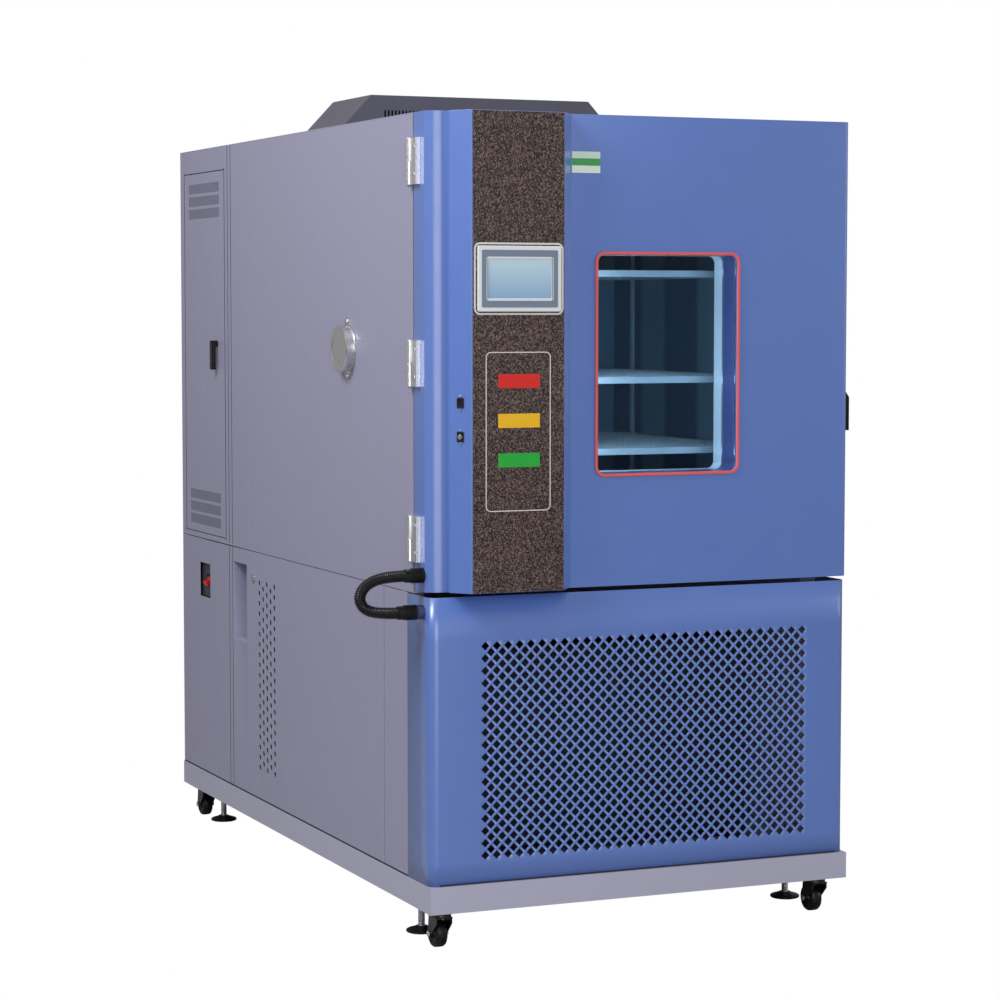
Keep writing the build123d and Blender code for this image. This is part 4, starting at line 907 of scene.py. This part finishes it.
# Window: a tunnel through the door with an outer and an inner pane of tempered glass,
# edged with a red rubber bead pushed over the rim of the opening. The tunnel's outer part is the door's
# blue darkened as painted shade of the reveal, and its inner edge is stainless made near-white and mostly
# diffuse, partly a painted highlight.
bright_edge_start = -0.8595
tunnel = brushed("tunnel_steel", 0.22, 0.35, (1, 6, 1))
tunnel_depth = node(tunnel, "ShaderNodeSeparateXYZ", Vector=place_of(tunnel)).outputs["Y"]
bright_share = between(tunnel, tunnel_depth, 0, 1, bright_edge_start - 0.0005, bright_edge_start + 0.0005)
wire(tunnel, mixed(tunnel, bright_share, linear(52, 66, 118), (0.86, 0.87, 0.9)), "Base Color")
wire(tunnel, between(tunnel, bright_share, 0.15, 0.3, 0, 1), "Metallic")
red_rubber = rubber("red_rubber", linear(214, 94, 98), 0.42)
dressed("window_frame", tunnel, 0.0006)
dressed("window_trim", red_rubber, 0.0016, 4)
glass = new_finish("window_glass", linear(206, 228, 243), 0.03)
shader = glass.node_tree.nodes["Principled BSDF"]
shader.inputs["Transmission Weight"].default_value = 1.0
shader.inputs["IOR"].default_value = 1.2
wire(glass, between(glass, clouds(glass, 0.08), 0.02, 0.05), "Roughness")
panes = dressed("window_panes", glass, 0.0)
panes.visible_shadow = False


# Control box on the hinge side: a blue folded housing with slanted flanks. Its front carries a
# gloss black laminate with a brown and grey fleck.
dressed("control_box", blue_paint, 0.0015)
fleck_black = linear(26, 22, 22)
laminate = new_finish("flecked_laminate", fleck_black, 0.2)
fine_fleck = node(laminate, "ShaderNodeTexNoise", Vector=place_of(laminate, (1, 1, 0.8)), Scale=330.0,
                  Detail=4.0, Roughness=0.7).outputs["Fac"]
patches = clouds(laminate, 0.03, detail=2)
brown = mixed(laminate, between(laminate, fine_fleck, 0, 1, 0.49, 0.62), fleck_black, linear(128, 102, 94))
pale = node(laminate, "ShaderNodeTexNoise", Vector=place_of(laminate, (1.3, 1, 1)), Scale=610.0, Detail=3.0,
            Roughness=0.7).outputs["Fac"]
grey_fleck = mixed(laminate, between(laminate, pale, 0, 1, 0.57, 0.68), brown, linear(150, 140, 142))
wire(laminate, grey_fleck, "Base Color")
wire(laminate, between(laminate, patches, 0.14, 0.26), "Roughness")
dressed("control_fascia", laminate, 0.0006)


# Printed outlines on the laminate: fine white lines round the operator panel and round the
# status windows, screen printed in ink.
def rounded_loop(bm, x0, x1, z0, z1, y, radius, steps=6):
    """The edges of a rectangle with rounded corners, on a plane that faces the front."""
    verts = []
    for x, z, turn in ((x1 - radius, z1 - radius, 0), (x0 + radius, z1 - radius, 90),
                       (x0 + radius, z0 + radius, 180), (x1 - radius, z0 + radius, 270)):
        for step in range(steps + 1):
            angle = math.radians(turn + 90 * step / steps)
            verts.append(bm.verts.new((x + radius * math.cos(angle), y, z + radius * math.sin(angle))))
    return [bm.edges.new(pair) for pair in zip(verts, verts[1:] + verts[:1])]


def panel_frame(bm, x0, x1, z0, z1, y, line, radius, thickness=0.0003):
    """A thin frame with rounded corners, raised from a plane that faces the front."""
    outer = rounded_loop(bm, x0, x1, z0, z1, y, radius)
    inner = rounded_loop(bm, x0 + line, x1 - line, z0 + line, z1 - line, y, max(radius - line, 0.0006))
    ring = bmesh.ops.bridge_loops(bm, edges=outer + inner)["faces"]
    raised = bmesh.ops.extrude_face_region(bm, geom=ring)["geom"]
    bmesh.ops.translate(bm, vec=(0, -thickness, 0),
                        verts=[g for g in raised if isinstance(g, bmesh.types.BMVert)])


white_ink = new_finish("white_ink", linear(206, 204, 202), 0.5)
wire(white_ink, between(white_ink, clouds(white_ink, 0.01), 0.42, 0.6), "Roughness")
low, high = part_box("control_fascia")
panel_y = low.y
panel_x = (low.x + high.x) / 2
operator_z = 1.488
half_wide = 0.1065
half_high = 0.0785
status_low, status_high = (panel_x - 0.079, 0.980), (panel_x + 0.076, 1.329)
bm = bmesh.new()
panel_frame(bm, panel_x - half_wide, panel_x + half_wide, operator_z - half_high, operator_z + half_high,
            panel_y, 0.004, 0.014)
panel_frame(bm, status_low[0], status_high[0], status_low[1], status_high[1], panel_y, 0.0022, 0.012)
bmesh.ops.recalc_face_normals(bm, faces=bm.faces)
put("printed_outlines", bm, white_ink, "door")


# Operator panel: a white moulded bezel with a grey-blue printed band round the glass, and a pale
# blue touch screen set a little back.
bezel_white = rubber("bezel_white", linear(214, 218, 222), 0.4, grain=0.003)
band_blue = new_finish("band_blue", linear(112, 126, 144), 0.35)
wire(band_blue, between(band_blue, clouds(band_blue, 0.02), 0.3, 0.42), "Roughness")
dressed("operator_bezel", bezel_white, 0.002, 4)
low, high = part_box("operator_bezel")
screen_low, screen_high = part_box("operator_screen")
band_margin = 0.009
line_margin = 0.004
bm = bmesh.new()
panel_frame(bm, low.x + band_margin, high.x - band_margin, low.z + band_margin, high.z - band_margin, low.y,
            0.0145, 0.003, 0.0004)
bmesh.ops.recalc_face_normals(bm, faces=bm.faces)
put("bezel_band", bm, band_blue, "door")
bm = bmesh.new()
panel_frame(bm, screen_low.x - line_margin, screen_high.x + line_margin, screen_low.z - line_margin,
            screen_high.z + line_margin, low.y - 0.0004, 0.0014, 0.002, 0.0002)
bmesh.ops.recalc_face_normals(bm, faces=bm.faces)
put("bezel_line", bm, bezel_white, "door")
screen_glow = new_finish("screen_glow", linear(150, 178, 200), 0.12)
glow_height = node(screen_glow, "ShaderNodeSeparateXYZ", Vector=place_of(screen_glow)).outputs["Z"]
glow_share = between(screen_glow, glow_height, 0, 1, screen_low.z, screen_high.z)
glow = mixed(screen_glow, glow_share, linear(128, 160, 190), linear(176, 198, 210))
wire(screen_glow, glow, "Base Color")
wire(screen_glow, glow, "Emission Color")
screen_glow.node_tree.nodes["Principled BSDF"].inputs["Emission Strength"].default_value = 0.12
dressed("operator_screen", screen_glow, 0.0004)


# Status windows: three bare plates cut from acrylic sheet, red, amber and green, with eased edges
# and bonded to the laminate.
plate_colours = {"green_plate": linear(38, 170, 62), "amber_plate": linear(238, 186, 34),
                 "red_plate": linear(214, 44, 40)}
low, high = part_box("status_plates")
plate_height = 0.031
for number, (name, colour) in enumerate(plate_colours.items()):
    acrylic = new_finish(name + "_acrylic", colour, 0.25)
    deeper = tuple(c * 0.85 for c in colour)
    wire(acrylic, mixed(acrylic, clouds(acrylic, 0.03), colour, deeper), "Base Color")
    step = (high.z - low.z - plate_height) / 2
    base = low.z + number * step
    bm = bmesh.new()
    add_box(bm, (low.x, low.y, base), (high.x, high.y, base + plate_height))
    put(name, bm, acrylic, "door", ("status_plates",) if number == 0 else (), edge=0.0008)


# Two sockets on the control box's left flank, a square black one and a bright round one, each
# with a screw above and below, and a blank inspection sticker on the door's face.
round_socket_z = 1.144
square_socket_z = 1.218
screw_rise = 0.0145
flank = Vector((-0.043, -0.035, 0)).normalized()
dressed("panel_sockets", dial_black, 0.0005)
socket_low, socket_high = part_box("panel_sockets")
socket_x, socket_y = (socket_low.x + socket_high.x) / 2, (socket_low.y + socket_high.y) / 2
bm = bmesh.new()
for level in (round_socket_z, square_socket_z):
    for sign in (-1, 1):
        start = Vector((socket_x, socket_y, level + sign * screw_rise)) + flank * -0.001
        add_rod(bm, 0.0022, start, start + flank * 0.0035, 16)
start = Vector((socket_x, socket_y, round_socket_z))
add_rod(bm, 0.0052, start, start + flank * 0.0032, 24)
put("socket_screws", bm, bright_steel, "door", edge=0.0003)
sticker_bands = (("white", 0.0, 0.34, linear(214, 228, 216)), ("green", 0.34, 0.68, linear(60, 150, 84)),
                 ("pale", 0.68, 1.0, linear(196, 214, 200)))
sticker_low, sticker_high = (-0.183, 1.723), (-0.114, 1.770)
door_face = -0.9285
for name, first, last, colour in sticker_bands:
    paper = new_finish("sticker_" + name, colour, 0.55)
    wire(paper, between(paper, clouds(paper, 0.004), 0.48, 0.62), "Roughness")
    height = sticker_high[1] - sticker_low[1]
    bm = bmesh.new()
    add_box(bm, (sticker_low[0], door_face - 0.0003, sticker_low[1] + height * first),
            (sticker_high[0], door_face, sticker_low[1] + height * last))
    put("sticker_band_" + name, bm, paper, "door")


# Three lift-off hinges on the left edge: bright knuckles and body leaves, and grey zinc blocks
# bolted to the door's edge. Each leaf is held by countersunk screws.
hinge_zinc = brushed("hinge_zinc", 0.85, 0.3, (1, 1, 6))
dressed("hinge_body_leaves", hinge_zinc, 0.0009, 3)
dressed("hinge_door_leaves", hinge_zinc, 0.0009, 3)
hinge_levels = (0.916, 1.303, 1.745)
body_side = -0.5225
leaf_thickness = 0.004
block_thickness = 0.011
leaf_screw_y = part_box("hinge_body_leaves")[1].y - 0.011
block_screw_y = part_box("hinge_door_leaves")[0].y + 0.012
screw_head = [(0, 0), (0, 0.0046), (0.0006, 0.0044), (0.0012, 0.0034), (0.0009, 0.002), (0.0002, 0)]
for name, body, thickness, y, levels in (
        ("leaf_screws", "cabinet", leaf_thickness, leaf_screw_y, (-0.034, 0, 0.034)),
        ("block_screws", "door", block_thickness, block_screw_y, (-0.030, 0.030))):
    bm = bmesh.new()
    for level in hinge_levels:
        for rise in levels:
            add_turned(bm, screw_head, (body_side - thickness, y, level + rise), (-1, 0, 0), 20)
    put(name, bm, bright_steel, body)


# Door lever: a black cranked casting on the right edge with its cam inside the door, and a keyed
# cylinder above it.
lever_black = rubber("lever_black", linear(11, 11, 13), 0.3, grain=0.002)
dressed("door_lever", lever_black, 0.003, 4)
dressed("door_lock", bright_steel, 0.0006)


bpy.context.view_layer.update()
